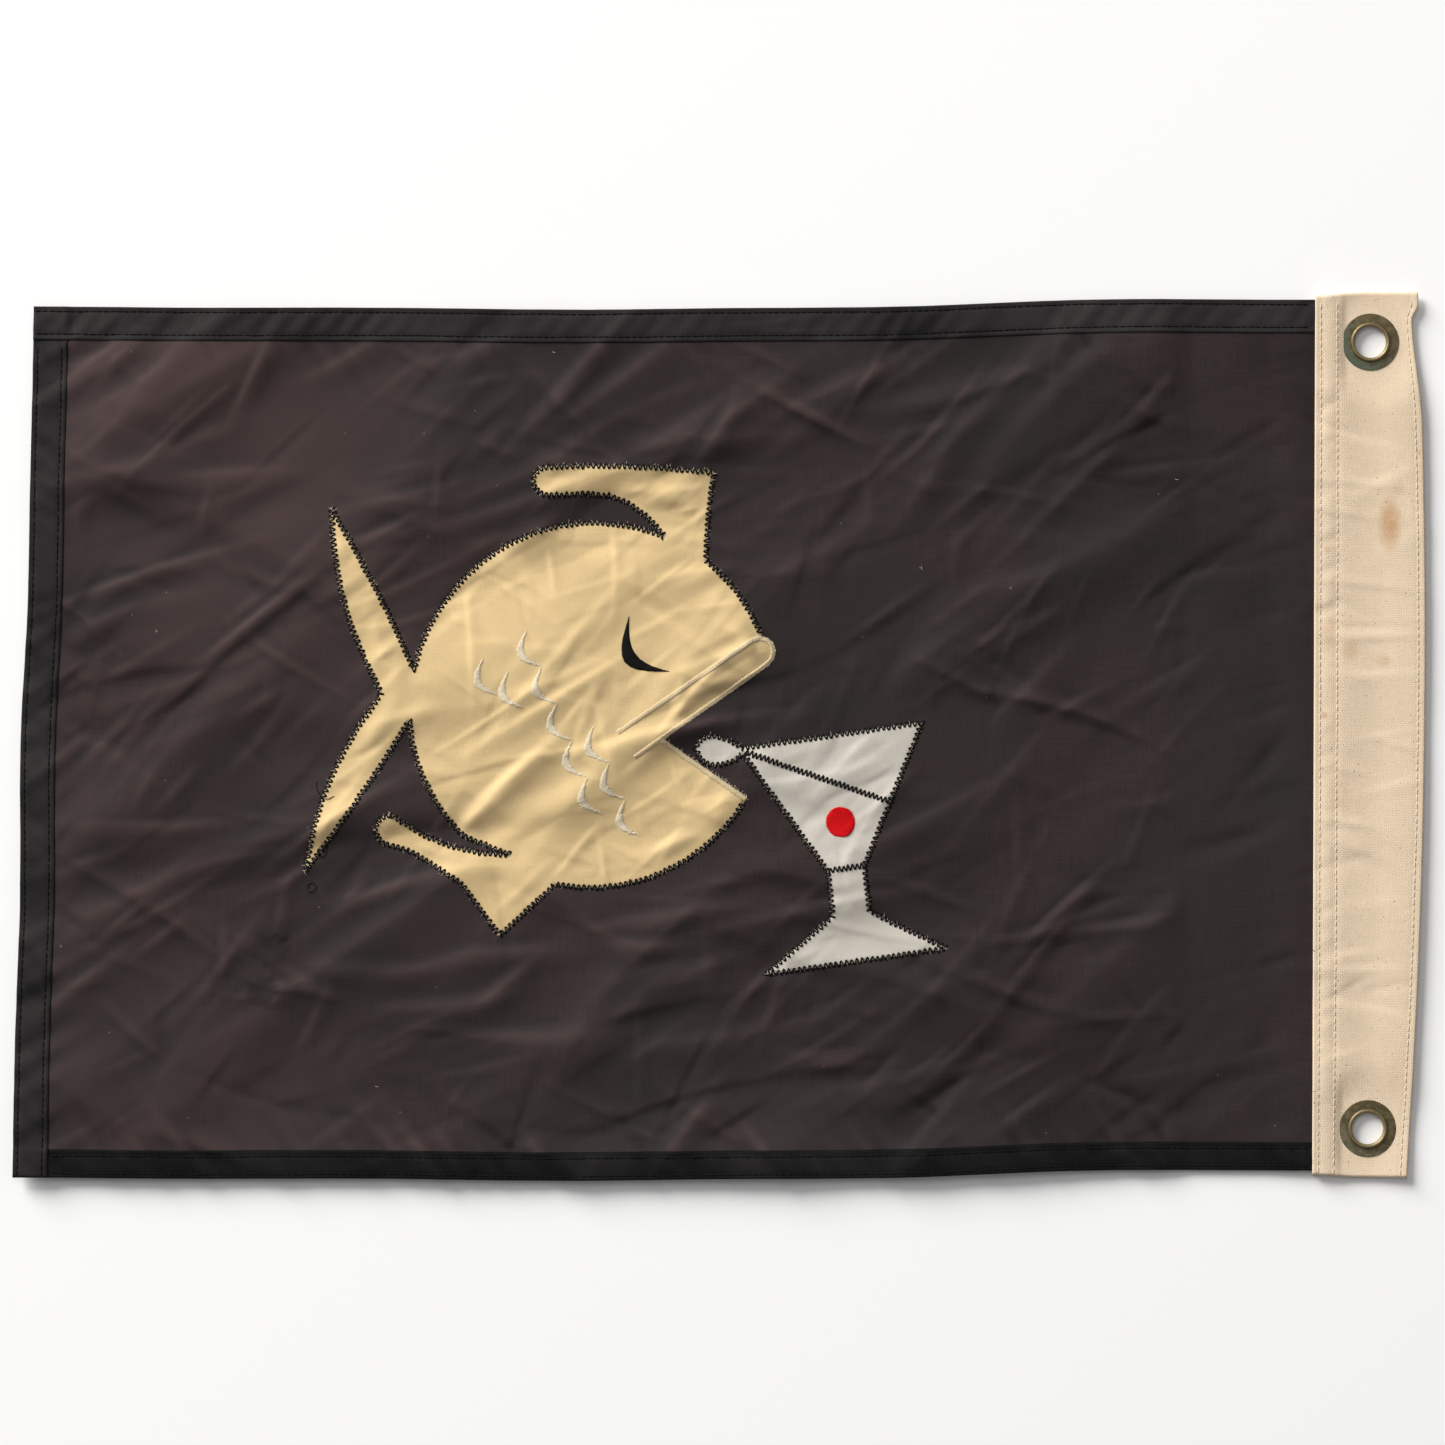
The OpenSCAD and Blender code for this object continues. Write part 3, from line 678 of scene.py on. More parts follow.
def canvas_material(base):
    """Unbleached cotton canvas, with rust, small dark flecks and a hand-soiled bloom."""
    material = cotton_material("finished_canvas", base, 0.62, 0.10, DIRT_AND_FOLD_SHADE_ON_CANVAS)
    tree = material.node_tree
    shader = tree.nodes["Principled BSDF"]
    attributes = [node for node in tree.nodes if node.type == "ATTRIBUTE"]
    place = next(n for n in attributes if n.attribute_name == "flat").outputs["Vector"]
    hue = shader.inputs["Base Color"].links[0].from_socket
    flecks = ramp(tree, noise(tree, place, 0.75, 1.0), 0.715, 0.75)
    hue = washed(tree, hue, flecks, 0.5, SEED_FLECK)
    for stretch in ((0.5, 2.4, 1), (2.4, 0.5, 1)):
        thick = noise(tree, stretched_place(tree, place, stretch), 1.0, 2.0)
        hue = washed(tree, hue, ramp(tree, thick, 0.52, 0.72), 0.22, THICK_YARN)
    bloom = noise(tree, stretched_place(tree, place, (0.06, 0.02, 1)), 1.0, 4.0)
    hue = washed(tree, hue, ramp(tree, bloom, 0.5, 0.75), 0.16, SOILED_CANVAS)
    patchy = ramp(tree, noise(tree, place, 0.30, 4.0, 0.6), -0.2, 0.66)
    hue = washed(tree, hue, times(tree, kept_on_mesh(tree, "rust"), patchy), 0.7, RUST)
    tree.links.new(hue, shader.inputs["Base Color"])
    return material


def thread_material(name, base, gloss, sheen):
    """Spun thread: fine fibres that catch the light."""
    material, tree, shader, _ = start_material(name, gloss, 0.1, sheen, 0.4)
    solid = add_node(tree, "ShaderNodeTexCoord").outputs["Object"]
    fibres = noise(tree, solid, 2600.0, 3.0, 0.7)
    hue = mixed(tree, ramp(tree, fibres, 0.3, 0.7), shaded(base, 0.72), shaded(base, 1.14))
    tree.links.new(hue, shader.inputs["Base Color"])
    bumped(tree, shader, fibres, 0.06, 0.8)
    return material


def brass_material(name, colours, middle, green):
    """Aged brass: brown skin, green bloom outside, bare metal where the lip is rubbed."""
    material, tree, shader, _ = start_material(name, 0.42, 0.5)
    solid = add_node(tree, "ShaderNodeTexCoord").outputs["Object"]
    parts = add_node(tree, "ShaderNodeSeparateXYZ", {0: solid})
    dx, dy = (
        maths(tree, "SUBTRACT", parts.outputs[axis], middle[axis] * MM) for axis in (0, 1)
    )
    away = maths(tree, "SQRT", plus(tree, times(tree, dx, dx), times(tree, dy, dy)))
    blotch = noise(tree, solid, 420.0, 4.0, 0.65)
    grain = noise(tree, solid, 2200.0, 3.0, 0.6)
    rubbed = ramp(tree, plus(tree, away, times(tree, blotch, 0.0012)), 0.0076, 0.0066)
    patchy = ramp(tree, blotch, 0.38, 0.62)
    hue = mixed(tree, patchy, colours.patina, shaded(colours.patina, 1.7))
    hue = washed(tree, hue, rubbed, 0.5, colours.brass)
    side = plus(tree, times(tree, plus(tree, dx, dy), -28.0), blotch)
    bloom = times(tree, ramp(tree, side, 0.35, 0.9), ramp(tree, away, 0.0066, 0.0084))
    hue = washed(tree, hue, bloom, green, colours.verdigris)
    hue = washed(tree, hue, ramp(tree, grain, 0.55, 0.75), 0.35, METAL_DIRT)
    tree.links.new(hue, shader.inputs["Base Color"])
    metal = maths(tree, "SUBTRACT", 0.72, times(tree, bloom, 0.5))
    tree.links.new(metal, shader.inputs["Metallic"])
    tree.links.new(plus(tree, 0.34, times(tree, blotch, 0.3)), shader.inputs["Roughness"])
    bumped(tree, shader, plus(tree, blotch, times(tree, grain, 0.4)), 0.12, 0.6)
    return material


def shared_material(name, make, *args):
    """A finish by name, made the first time it is asked for."""
    name = "finished_" + name
    return bpy.data.materials.get(name) or make(name, *args)


def thread_of(kind):
    """Sewing or embroidery thread of a colour named in the colours."""
    colours = bpy.context.scene.flag_colours
    rayon = kind in ("cream_thread", "lip_thread", "red_thread")
    gloss, sheen = (0.55, 0.0) if rayon else (0.7, 0.02)
    return shared_material(kind, thread_material, list(getattr(colours, kind)), gloss, sheen)


# ---- Stage ----


def area_light(name, place, size, power, tint=(1, 1, 1)):
    """Round soft light that faces the middle of the flag."""
    data = bpy.data.lights.new(name, "AREA")
    data.shape = "DISK"
    data.size = size
    data.energy = power
    data.color = tint
    light = bpy.data.objects.new(name, data)
    light.location = place
    light.rotation_mode = "QUATERNION"
    light.rotation_quaternion = (-Vector(place)).to_track_quat("-Z", "Y")
    bpy.context.scene.collection.objects.link(light)


class FLAG_OT_stage(bpy.types.Operator):
    """Make the pale floor, the soft studio light and the camera above the flag"""

    bl_idname = "flag.stage"
    bl_label = "Stage"

    def execute(self, context):
        scene = context.scene
        scene.view_settings.view_transform = "Standard"
        half, below = 30.0, -0.0003
        corners = ((-half, -half), (half, -half), (half, half), (-half, half))
        mesh = bpy.data.meshes.new("floor")
        mesh.from_pydata([(x, y, below) for x, y in corners], [], [(0, 1, 2, 3)])
        material = bpy.data.materials.new("floor")
        material.use_nodes = True
        shader = material.node_tree.nodes["Principled BSDF"]
        shader.inputs["Base Color"].default_value = (0.96, 0.96, 0.96, 1)
        shader.inputs["Roughness"].default_value = 1.0
        shader.inputs["Specular IOR Level"].default_value = 0.0
        mesh.materials.append(material)
        floor = bpy.data.objects.new("floor", mesh)
        scene.collection.objects.link(floor)
        world = scene.world or bpy.data.worlds.new("studio")
        scene.world = world
        world.use_nodes = True
        backdrop = world.node_tree.nodes["Background"]
        backdrop.inputs["Color"].default_value = (1.0, 1.0, 1.0, 1)
        backdrop.inputs["Strength"].default_value = 0.2
        area_light("key", (-5.0, 5.4, 3.4), 4.6, 1130.0, (1.0, 0.99, 0.97))
        area_light("overhead", (-1.2, 3.0, 7.0), 4.0, 90.0)
        camera_data = bpy.data.cameras.new("camera")
        distance = 2.2
        shown_width = 0.5065
        camera_data.sensor_width = 36.0
        camera_data.lens = camera_data.sensor_width * distance / shown_width
        camera = bpy.data.objects.new("camera", camera_data)
        camera.location = (0.001, 0.0037, distance)
        camera.rotation_euler = (0, 0, math.radians(0.2))
        scene.collection.objects.link(camera)
        scene.camera = camera
        return {"FINISHED"}


# ---- Field and hems ----


def stations(low, high, step, fine_from=None):
    """Even places from low to high, closer together past fine_from."""
    if fine_from is None:
        return np.linspace(low, high, max(2, int(round((high - low) / step)) + 1))
    coarse = np.arange(low, fine_from, step)
    fine = np.linspace(fine_from, high, int(round((high - fine_from) / FOLD_STEP)) + 1)
    return np.concatenate([coarse, fine])


# Middle, size and depth of each old stain.
STAINS = (
    (-157, -72, 6, 0.30), (-160, -86, 5, 0.34), (-150, -88, 4.5, 0.24), (-152, -66, 4, 0.16),
    (27, 129, 3.5, 0.22), (-170, -82, 9, 0.10),
)


def field_tone(x, y):
    """Fading, soiling, old stains and painted crease light of the field: 0.5 is plain, lower is
    darker.
    """
    tone = 0.5 + 0.30 * smooth((70 - x) / 270) * (0.65 + 0.35 * smooth((y + 60) / 200))
    tone = tone - 0.12 * smooth((x + 20) / 200)
    tone = tone + 0.10 * wander(x + 0.8 * y, 31, 38) + 0.06 * wander(x - y, 32, 17)
    for cx, cy, size, depth in STAINS:
        ragged = 1.6 * wander(3 * np.arctan2(y - cy, x - cx) * size, 33, 3)
        away = np.hypot(x - cx, y - cy) + ragged
        tone = tone - depth * smooth((size + 1.6 - away) / 2.4)
    # Painted shade in the hollows of the creases and painted highlight on their ridges: the height
    # against the mean of its neighbours.
    sides = ((3.5, 0), (-3.5, 0), (0, 3.5), (0, -3.5))
    around = sum(relief(x + a, y + b) for a, b in sides) / len(sides)
    return np.clip(tone + 0.5 * (relief(x, y) - around), 0, 1)


class FLAG_OT_field(bpy.types.Operator):
    """Lay the creased nylon field, which runs on into the heading"""

    bl_idname = "flag.field"
    bl_label = "Field"

    def execute(self, context):
        sizes, colours = context.scene.flag_sizes, context.scene.flag_colours
        step = sizes.cloth_step / MM
        xs = stations(FLY_X + 0.5, SEAM_X + SEAM_ALLOWANCE - 0.4, step, FOLD_FINE_FROM)
        ys = stations(-HALF_HEIGHT + 0.5, HALF_HEIGHT - 0.5, step)
        x, y = np.meshgrid(xs, ys, indexing="ij")
        material = shared_material(
            "black_nylon", nylon_material, list(colours.nylon), FADED_AND_RIDGE_LIT_NYLON, STAINED_AND_CREASE_SHADED_NYLON
        )
        piece = add_mesh(
            "field_sheet", laid(x, y, PLY), grid_faces(len(xs), len(ys)), material,
            np.stack([x, y], -1), field_tone(x, y),
        )
        thickened(piece, PLY)
        over_fold(piece, "black_nylon", "field_cloth", "seam_allowance")
        return {"FINISHED"}


def row_inset(node, axis, edge):
    """How far the middle of a stitch row lies in from the flag's edge."""
    low, high = box_mm(node)
    return abs(edge - (low[axis] + high[axis]) / 2)


def hem_section(node, width, axis, edge):
    """Distance in from the flag's edge and height, round one hem, with its rows pressed in."""
    across = np.concatenate([[0.9], np.arange(1.3, width - 0.8, 0.6), [width - 0.6]])
    rows = (row_inset(node + row, axis, edge) for row in ("_outer_row", "_inner_row"))
    pressed = sum(np.exp(-(((across - row) / 0.7) ** 2)) for row in rows)
    top = np.column_stack([across, HEM_TOP + 0.10 - 0.17 * pressed])
    outside = [(0.5, 0.03), (0.12, 0.06), (0.0, 0.25), (0.03, 0.42), (0.22, 0.60), (0.5, 0.68)]
    within = [(width - 0.25, 0.60), (width - 0.04, 0.42), (width, 0.25), (width - 0.15, 0.10)]
    return np.vstack([outside, top, within])


def hem_puckers(along, across, width, seed):
    """Oblique ridges where the feed of the machine dragged the fold."""
    ridge = np.sin(2 * math.pi * (along + 0.75 * across + 3.5 * wander(along, seed, 24)) / 9.4)
    size = 0.5 + 0.5 * wander(along, seed + 1, 33)
    short = wander(along + 0.5 * across, seed + 2, 2.6)
    return (0.24 * ridge * size + 0.08 * short) * np.sin(math.pi * np.clip(across / width, 0, 1))


def hem_piece(name, along, section, width, place_of, raised, seed, shade, material):
    """One hem: place_of turns distances along and in from the edge into flat places; shade above 0
    is painted light and below 0 painted shade over the whole hem.
    """
    across, height = section.T
    s, t = np.meshgrid(along, across, indexing="ij")
    height = np.broadcast_to(height, s.shape)
    on_top = smooth((height - 0.3) / 0.3)
    h = height + raised(s) + hem_puckers(s, t, width, seed) * on_top
    x, y = place_of(s, t)
    faces = grid_faces(len(along), len(across), ring=True)
    last = (len(along) - 1) * len(across)
    faces += [list(range(len(across)))[::-1], [last + i for i in range(len(across))]]
    # Painted light on the top and fly hems and painted shade on the bottom hem, by the side the
    # light falls from; random tone along the hem; painted shade along both folded edges.
    tone = 0.5 + shade + 0.14 * wander(s, seed + 3, 21) + 0.10 * wander(s + t, seed + 4, 5)
    tone = tone - 0.25 * np.exp(-((t - width) / 0.8) ** 2) - 0.12 * np.exp(-(t / 0.8) ** 2)
    return add_mesh(
        name, laid(x, y, h), faces, material, np.stack([x, y], -1), np.clip(tone, 0, 1)
    )


def over_other_hem(distance, width):
    """How much a hem is raised where it lies over the end of another one."""
    step = 0.9
    return 0.5 * smooth((width + step - distance) / step)


class FLAG_OT_hems(bpy.types.Operator):
    """Fold the three hems onto the face of the field"""

    bl_idname = "flag.hems"
    bl_label = "Hems"

    def execute(self, context):
        colours = context.scene.flag_colours
        material = shared_material(
            "hem_nylon", nylon_material, list(colours.hem), FADED_AND_LIT_HEM, SHADED_HEM
        )
        long_run = stations(FLY_X, SEAM_X + 1.0, 1.1, FOLD_FINE_FROM)
        upright = stations(-HALF_HEIGHT, HALF_HEIGHT - 0.3, 1.1)
        top = hem_piece(
            "top_hem_fold", long_run, hem_section("top_hem", TOP_HEM, 1, HALF_HEIGHT), TOP_HEM,
            lambda s, t: (s, HALF_HEIGHT - t), lambda s: over_other_hem(s - FLY_X, FLY_HEM),
            41, 0.36, material,
        )
        over_fold(top, "hem_nylon", "top_hem")
        bottom = hem_piece(
            "bottom_hem_fold", long_run + 0.3,
            hem_section("bottom_hem", BOTTOM_HEM, 1, -HALF_HEIGHT), BOTTOM_HEM,
            lambda s, t: (s, -HALF_HEIGHT + t), np.zeros_like, 51, -0.34, material,
        )
        over_fold(bottom, "hem_nylon", "bottom_hem")
        fly = hem_piece(
            "fly_hem_fold", upright, hem_section("fly_hem", FLY_HEM, 0, FLY_X), FLY_HEM,
            lambda s, t: (FLY_X + t, s),
            lambda s: over_other_hem(s + HALF_HEIGHT, BOTTOM_HEM), 61, 0.32, material,
        )
        on_body(fly, "hem_nylon", "field", "fly_hem")
        return {"FINISHED"}


# ---- Rows of lockstitches ----


def lockstitches(start, end, stitch, height_at, seed, thread, dip=0.16):
    """Threads of one row between two flat points, each diving into the cloth at its ends."""
    start, end = np.array(start, float), np.array(end, float)
    run = np.linalg.norm(end - start)
    count = int(run / stitch)
    rng = np.random.default_rng(seed)
    t0 = np.arange(count) * stitch + rng.uniform(-0.06, 0.06, count) * stitch
    share = np.array([0.04, 0.2, 0.5, 0.8, 0.96])
    along = t0[:, None] + share[None, :] * stitch
    direction = (end - start) / run
    sideways = np.array([-direction[1], direction[0]])
    slant = 0.05 * (share - 0.5)[None, :] * rng.normal(0, 1, count)[:, None]
    drift = 0.10 * wander(along, seed, 12) + slant
    x = start[0] + along * direction[0] + drift * sideways[0]
    y = start[1] + along * direction[1] + drift * sideways[1]
    arch = np.array([-dip, -0.02, 0.03, -0.02, -dip]) + thread * 0.35
    return x, y, height_at(x, y) + arch[None, :]


def hem_row_height(x, y):
    """Height of the pressed-in cloth under a stitch row of a hem."""
    near_top = over_other_hem(x - FLY_X, FLY_HEM) * (y > HALF_HEIGHT - TOP_HEM)
    near_bottom = over_other_hem(y + HALF_HEIGHT, BOTTOM_HEM) * (x < FLY_X + FLY_HEM)
    return HEM_TOP - 0.02 + near_top + near_bottom


class FLAG_OT_hem_stitching(bpy.types.Operator):
    """Sew the two rows of black stitches along each hem"""

    bl_idname = "flag.hem_stitching"
    bl_label = "Hem Stitching"

    def execute(self, context):
        sizes = context.scene.flag_sizes
        thread, stitch = sizes.thread / MM, sizes.stitch / MM
        material = thread_of("black_thread")
        rows = ("hem_outer_row", "hem_inner_row")
        for seed, node in enumerate((n for n in sorted(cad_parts) if n.endswith(rows)), 70):
            low, high = box_mm(node)
            middle = (low + high) / 2
            upright = high[1] - low[1] > high[0] - low[0]
            start = (middle[0], low[1] + 0.4) if upright else (low[0] + 0.4, middle[1])
            end = (middle[0], high[1]) if upright else (high[0] - 0.2, middle[1])
            x, y, h = lockstitches(start, end, stitch, hem_row_height, seed, thread)
            piece = tubes(node.replace("_row", "_stitches"), laid(x, y, h), thread / 2, material)
            if upright:
                on_body(piece, "black_thread", "field", node)
            else:
                over_fold(piece, "black_thread", node)
        return {"FINISHED"}


# ---- Heading ----

CANVAS = 0.46  # thickness of the canvas
TURN_IN = 8.6  # width of each turned-in edge
LEG_LOW, LEG_HIGH = 1.05, 1.70  # heights of the turned-in edges, on each side of the nylon
SEAM_FOLDS = (0.80, 1.95)  # heights of the two folds at the seam
FOLD_R = 0.25  # and their radius
HOLE_R = FLANGE_R - 2.6
EDGE_ROW, SECOND_ROW, HOIST_ROW = (
    row_inset(node, 0, SEAM_X) for node in ("seam_edge_row", "seam_second_row", "hoist_row")
)
TAPE_WIDTH = HOIST_X - SEAM_X
# Middle, half width, half height and strength of each rust mark.
RUST_MARKS = (
    (HOIST_X - 12, 74, 4.4, 10, 1.0), (HOIST_X - 9, 86, 2.5, 3, 0.35),
    (SEAM_X + 4.5, 65, 1.3, 1.4, 0.8), (SEAM_X + 3.6, 7, 1.3, 1.3, 1.0),
    (SEAM_X + 5, 36, 3, 9, 0.35), (SEAM_X + 12.5, 30, 3.5, 4, 0.45),
    (HOIST_X - 14, 26, 2.6, 3, 0.35), (HOIST_X - 1.5, 99, 0.8, 1.0, 1.0),
    (HOIST_X - 6, -118, 3, 9, 0.2), (SEAM_X + 10, -20, 3, 12, 0.2),
)


def upper_ply(x, run=3.0):
    """Middle height of the ply on the face, by distance from the seam and width of its step."""
    pressed = sum(np.exp(-(((x - row) / 0.9) ** 2)) for row in (EDGE_ROW, SECOND_ROW))
    seam = 2.2 + 0.10 * np.exp(-(((x - 5) / 2.0) ** 2)) - 0.16 * pressed
    flat = 1.12 - 0.12 * np.exp(-(((x - HOIST_ROW) / 0.9) ** 2))
    return flat + (seam - flat) * smooth((TURN_IN + run - x) / (run + 1.2))


def softened(x, y):
    """How much higher the face lies where no washer holds its step down."""
    distances = [np.hypot(SEAM_X + x - middle[0], y - middle[1]) for middle in GROMMETS]
    away = np.min(distances, axis=0)
    return (upper_ply(x, 16.0) - upper_ply(x)) * smooth((away - FLANGE_R - 1) / 12)


def lower_ply(x):
    """Middle height of the canvas ply underneath."""
    pressed = sum(np.exp(-(((x - row) / 0.9) ** 2)) for row in (EDGE_ROW, SECOND_ROW, HOIST_ROW))
    return 0.55 + 0.05 * pressed


def heading_section():
    """Middle of the folded canvas, from one turned-in edge round the hoist fold to the other."""
    turn = np.linspace(0.3, math.pi - 0.3, 5)
    inner = np.arange(TURN_IN, 0.8, -0.9)
    outer = np.concatenate([np.arange(0.7, TAPE_WIDTH - 0.9, 0.85), [TAPE_WIDTH - 0.7]])
    fold_low, fold_high = (
        [(0.5 - FOLD_R * math.sin(a), height + FOLD_R * math.cos(a)) for a in turn]
        for height in SEAM_FOLDS
    )
    low, high = float(lower_ply(TAPE_WIDTH)), float(upper_ply(TAPE_WIDTH))
    r = (high - low) / 2
    hoist = [(TAPE_WIDTH - 0.5 + r * math.sin(a), low + r - r * math.cos(a)) for a in turn]
    under = [(x, float(lower_ply(x))) for x in outer]
    face = [(x, float(upper_ply(x))) for x in outer[::-1]]
    leg_low, leg_high = [(x, LEG_LOW) for x in inner], [(x, LEG_HIGH) for x in inner[::-1]]
    parts = [leg_low, fold_low, under, hoist, face, fold_high, leg_high]
    on_face = np.concatenate([np.full(len(part), part is face) for part in parts])
    return np.array(sum(parts, [])), on_face


def on_heading(x_in, y, z):
    """Points of the heading, from the distance from the seam, the place along it and the height."""
    x = SEAM_X + x_in
    dx, dy = warp(x, y)
    return np.stack([x + dx, y + dy, z + relief(x, y)], axis=-1)


class FLAG_OT_heading(bpy.types.Operator):
    """Fold the canvas heading, with both edges turned in at the seam"""

    bl_idname = "flag.heading"
    bl_label = "Heading"

    def execute(self, context):
        material = canvas_material(list(context.scene.flag_colours.canvas))
        section, on_face = heading_section()
        ys = stations(-HALF_TAPE + 0.25, HALF_TAPE - 0.25, 1.0)
        x_in = np.broadcast_to(section[:, 0], (len(ys), len(section)))
        z = np.broadcast_to(section[:, 1], x_in.shape)
        y = np.broadcast_to(ys[:, None], x_in.shape)
        z = z + softened(x_in, y) * on_face
        points = on_heading(x_in, y, z).reshape(-1, 3)
        faces = grid_faces(len(ys), len(section))
        middles = points[np.array(faces)].mean(axis=1)
        kept = np.ones(len(faces), dtype=bool)
        for middle in GROMMETS:
            kept &= np.hypot(middles[:, 0] - middle[0], middles[:, 1] - middle[1]) > HOLE_R
        faces = np.array(faces)[kept]
        used = np.unique(faces)
        renumber = np.zeros(len(points), dtype=int)
        renumber[used] = np.arange(len(used))
        flat = np.stack([x_in + SEAM_X, y], -1).reshape(-1, 2)
        from_hoist, from_row = flat[:, 0] - HOIST_X, flat[:, 0] - SEAM_X - SECOND_ROW
        # Random soiling along the heading, with painted shade along the hoist fold and in the
        # second row's groove.
        tone = 0.5 + 0.10 * wander(flat[:, 1], 81, 26) - 0.14 * np.exp(-((from_hoist / 1.6) ** 2))
        tone = tone - 0.04 * np.exp(-((from_row / 1.2) ** 2))
        piece = add_mesh(
            "heading_canvas", points[used], renumber[faces].tolist(), material, flat[used],
            np.clip(tone, 0, 1)[used],
        )
        rust = np.zeros(len(used))
        for cx, cy, wide, tall, depth in RUST_MARKS:
            away = np.hypot((flat[used, 0] - cx) / wide, (flat[used, 1] - cy) / tall)
            rust += depth * smooth(1.25 - away)
        values = piece.data.attributes.new("rust", "FLOAT", "POINT")
        values.data.foreach_set("value", rust.astype(np.float32))
        thickened(piece, CANVAS, 0.0)
        on_body(piece, "canvas", "heading", "heading_tape")
        return {"FINISHED"}


class FLAG_OT_heading_stitching(bpy.types.Operator):
    """Sew the three rows of stitches through the heading, seen on both faces"""

    bl_idname = "flag.heading_stitching"
    bl_label = "Heading Stitching"

    def execute(self, context):
        sizes = context.scene.flag_sizes
        thread, stitch = sizes.heading_thread / MM, sizes.heading_stitch / MM
        rows = {"seam_edge_row": EDGE_ROW, "seam_second_row": SECOND_ROW, "hoist_row": HOIST_ROW}
        for seed, (node, row) in enumerate(rows.items(), 90):
            threads = []
            for face, side in ((upper_ply, 1), (lower_ply, -1)):
                x, y, h = lockstitches(
                    (SEAM_X + row, -HALF_TAPE + 0.8), (SEAM_X + row, HALF_TAPE - 0.8), stitch,
                    lambda x, y: np.zeros_like(x), seed, thread, 0.2,
                )
                clear = np.ones(len(x), dtype=bool)
                for middle in GROMMETS:
                    clear &= np.hypot(x - middle[0], y - middle[1]).min(axis=1) > FLANGE_R + 0.4
                z = face(x - SEAM_X) + side * (CANVAS / 2 + h)
                z = z + softened(x - SEAM_X, y) * (side > 0)
                threads.append(on_heading(x - SEAM_X, y, z)[clear])
            piece = tubes(
                node.replace("_row", "_stitches"), np.concatenate(threads), thread / 2,
                thread_of("white_thread"),
            )
            on_body(piece, "white_thread", "heading", node)
        return {"FINISHED"}


class FLAG_OT_grommets(bpy.types.Operator):
    """Give the brass grommets and washers their patina"""

    bl_idname = "flag.grommets"
    bl_label = "Grommets"

    def execute(self, context):
        colours = context.scene.flag_colours
        for side, middle, green in (("upper", GROMMETS[0], 0.9), ("lower", GROMMETS[1], 0.25)):
            material = brass_material(side + "_brass", colours, middle, green)
            for part in ("grommet", "washer"):
                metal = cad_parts[side + "_" + part]
                metal.data.materials.clear()
                metal.data.materials.append(material)
        return {"FINISHED"}


# ---- Patches ----


def patch_creases(loop, seed, count):
    """Creases of a patch: most run up from the left to the right."""
    area = loop.min(0), loop.max(0)
    return crease_table(
        seed, count, (1.6, 4.6), (9, 36), (0.32, 1.0), [22, 30, 38, 46, 54, 140], area
    ) + crease_table(
        seed + 1, 2 * count, (0.7, 1.5), (6, 22), (0.12, 0.42), [15, 35, 60, 100, 150], area
    )


FISH = outline("fish_patch")
GLASS = outline("glass_patch")
PATCH_CREASES = {"fish": patch_creases(FISH, 101, 70), "glass": patch_creases(GLASS, 103, 11)}
PATCH_LOOP = {"fish": FISH, "glass": GLASS}
PATCH_THICK = PATCH_TOP - PLY


def patch_relief(kind, x, y):
    """Extra creasing of a patch, which fades out at its sewn edge."""
    held = smooth(to_outline(x, y, PATCH_LOOP[kind]) / 7)
    return np.maximum(crease_height(PATCH_CREASES[kind], x, y) * held, -0.12)


def patch_sheet(name, kind, step, material):
    """Sheet of patch cloth: even points inside the outline, joined into triangles."""
    loop = PATCH_LOOP[kind]
    edge, _ = spaced(loop, step * 0.8, closed=True)
    low, high = loop.min(0), loop.max(0)
    xs = np.arange(low[0], high[0], step)
    ys = np.arange(low[1], high[1], step * 0.87)
    x, y = np.meshgrid(xs, ys, indexing="ij")
    x = x + (np.arange(len(ys)) % 2) * step / 2
    x, y = x.ravel(), y.ravel()
    keep = inside(x, y, loop)
    x, y = x[keep], y[keep]
    keep = to_outline(x, y, loop) > step * 0.55
    places = np.vstack([edge, np.column_stack([x[keep], y[keep]])])
    ring = [(i, (i + 1) % len(edge)) for i in range(len(edge))]
    made = geometry.delaunay_2d_cdt([Vector(p) for p in places], ring, [], 1, 1e-4)
    places = np.array([tuple(p) for p in made[0]])
    faces = [list(face) for face in made[2]]
    x, y = places[:, 0], places[:, 1]
    away = to_outline(x, y, loop)
    bow = patch_relief(kind, x, y)
    sunk = 0.12 * smooth(1 - away / 1.4)
    # Tone follows the crease height: painted highlight on the ridges, painted shade in the hollows,
    # and a little random soiling.
    tone = 0.5 + 0.5 * bow + 0.06 * wander(x + 0.6 * y, 111, 14)
    points = laid(x, y, PATCH_TOP + bow - sunk)
    piece = add_mesh(name, points, faces, material, places, np.clip(tone, 0, 1))
    return thickened(piece, PATCH_THICK * 0.85)


def on_patch(kind, x, y):
    """Height of the cloth that embroidery on a patch rests on, patch or field."""
    loop = PATCH_LOOP[kind]
    away = to_outline(x, y, loop) * np.where(inside(x, y, loop), 1, -1)
    step = (PATCH_THICK - 0.08) * smooth((away + 0.35) / 0.7)
    return PLY + step + patch_relief(kind, x, y) * (away > 0)


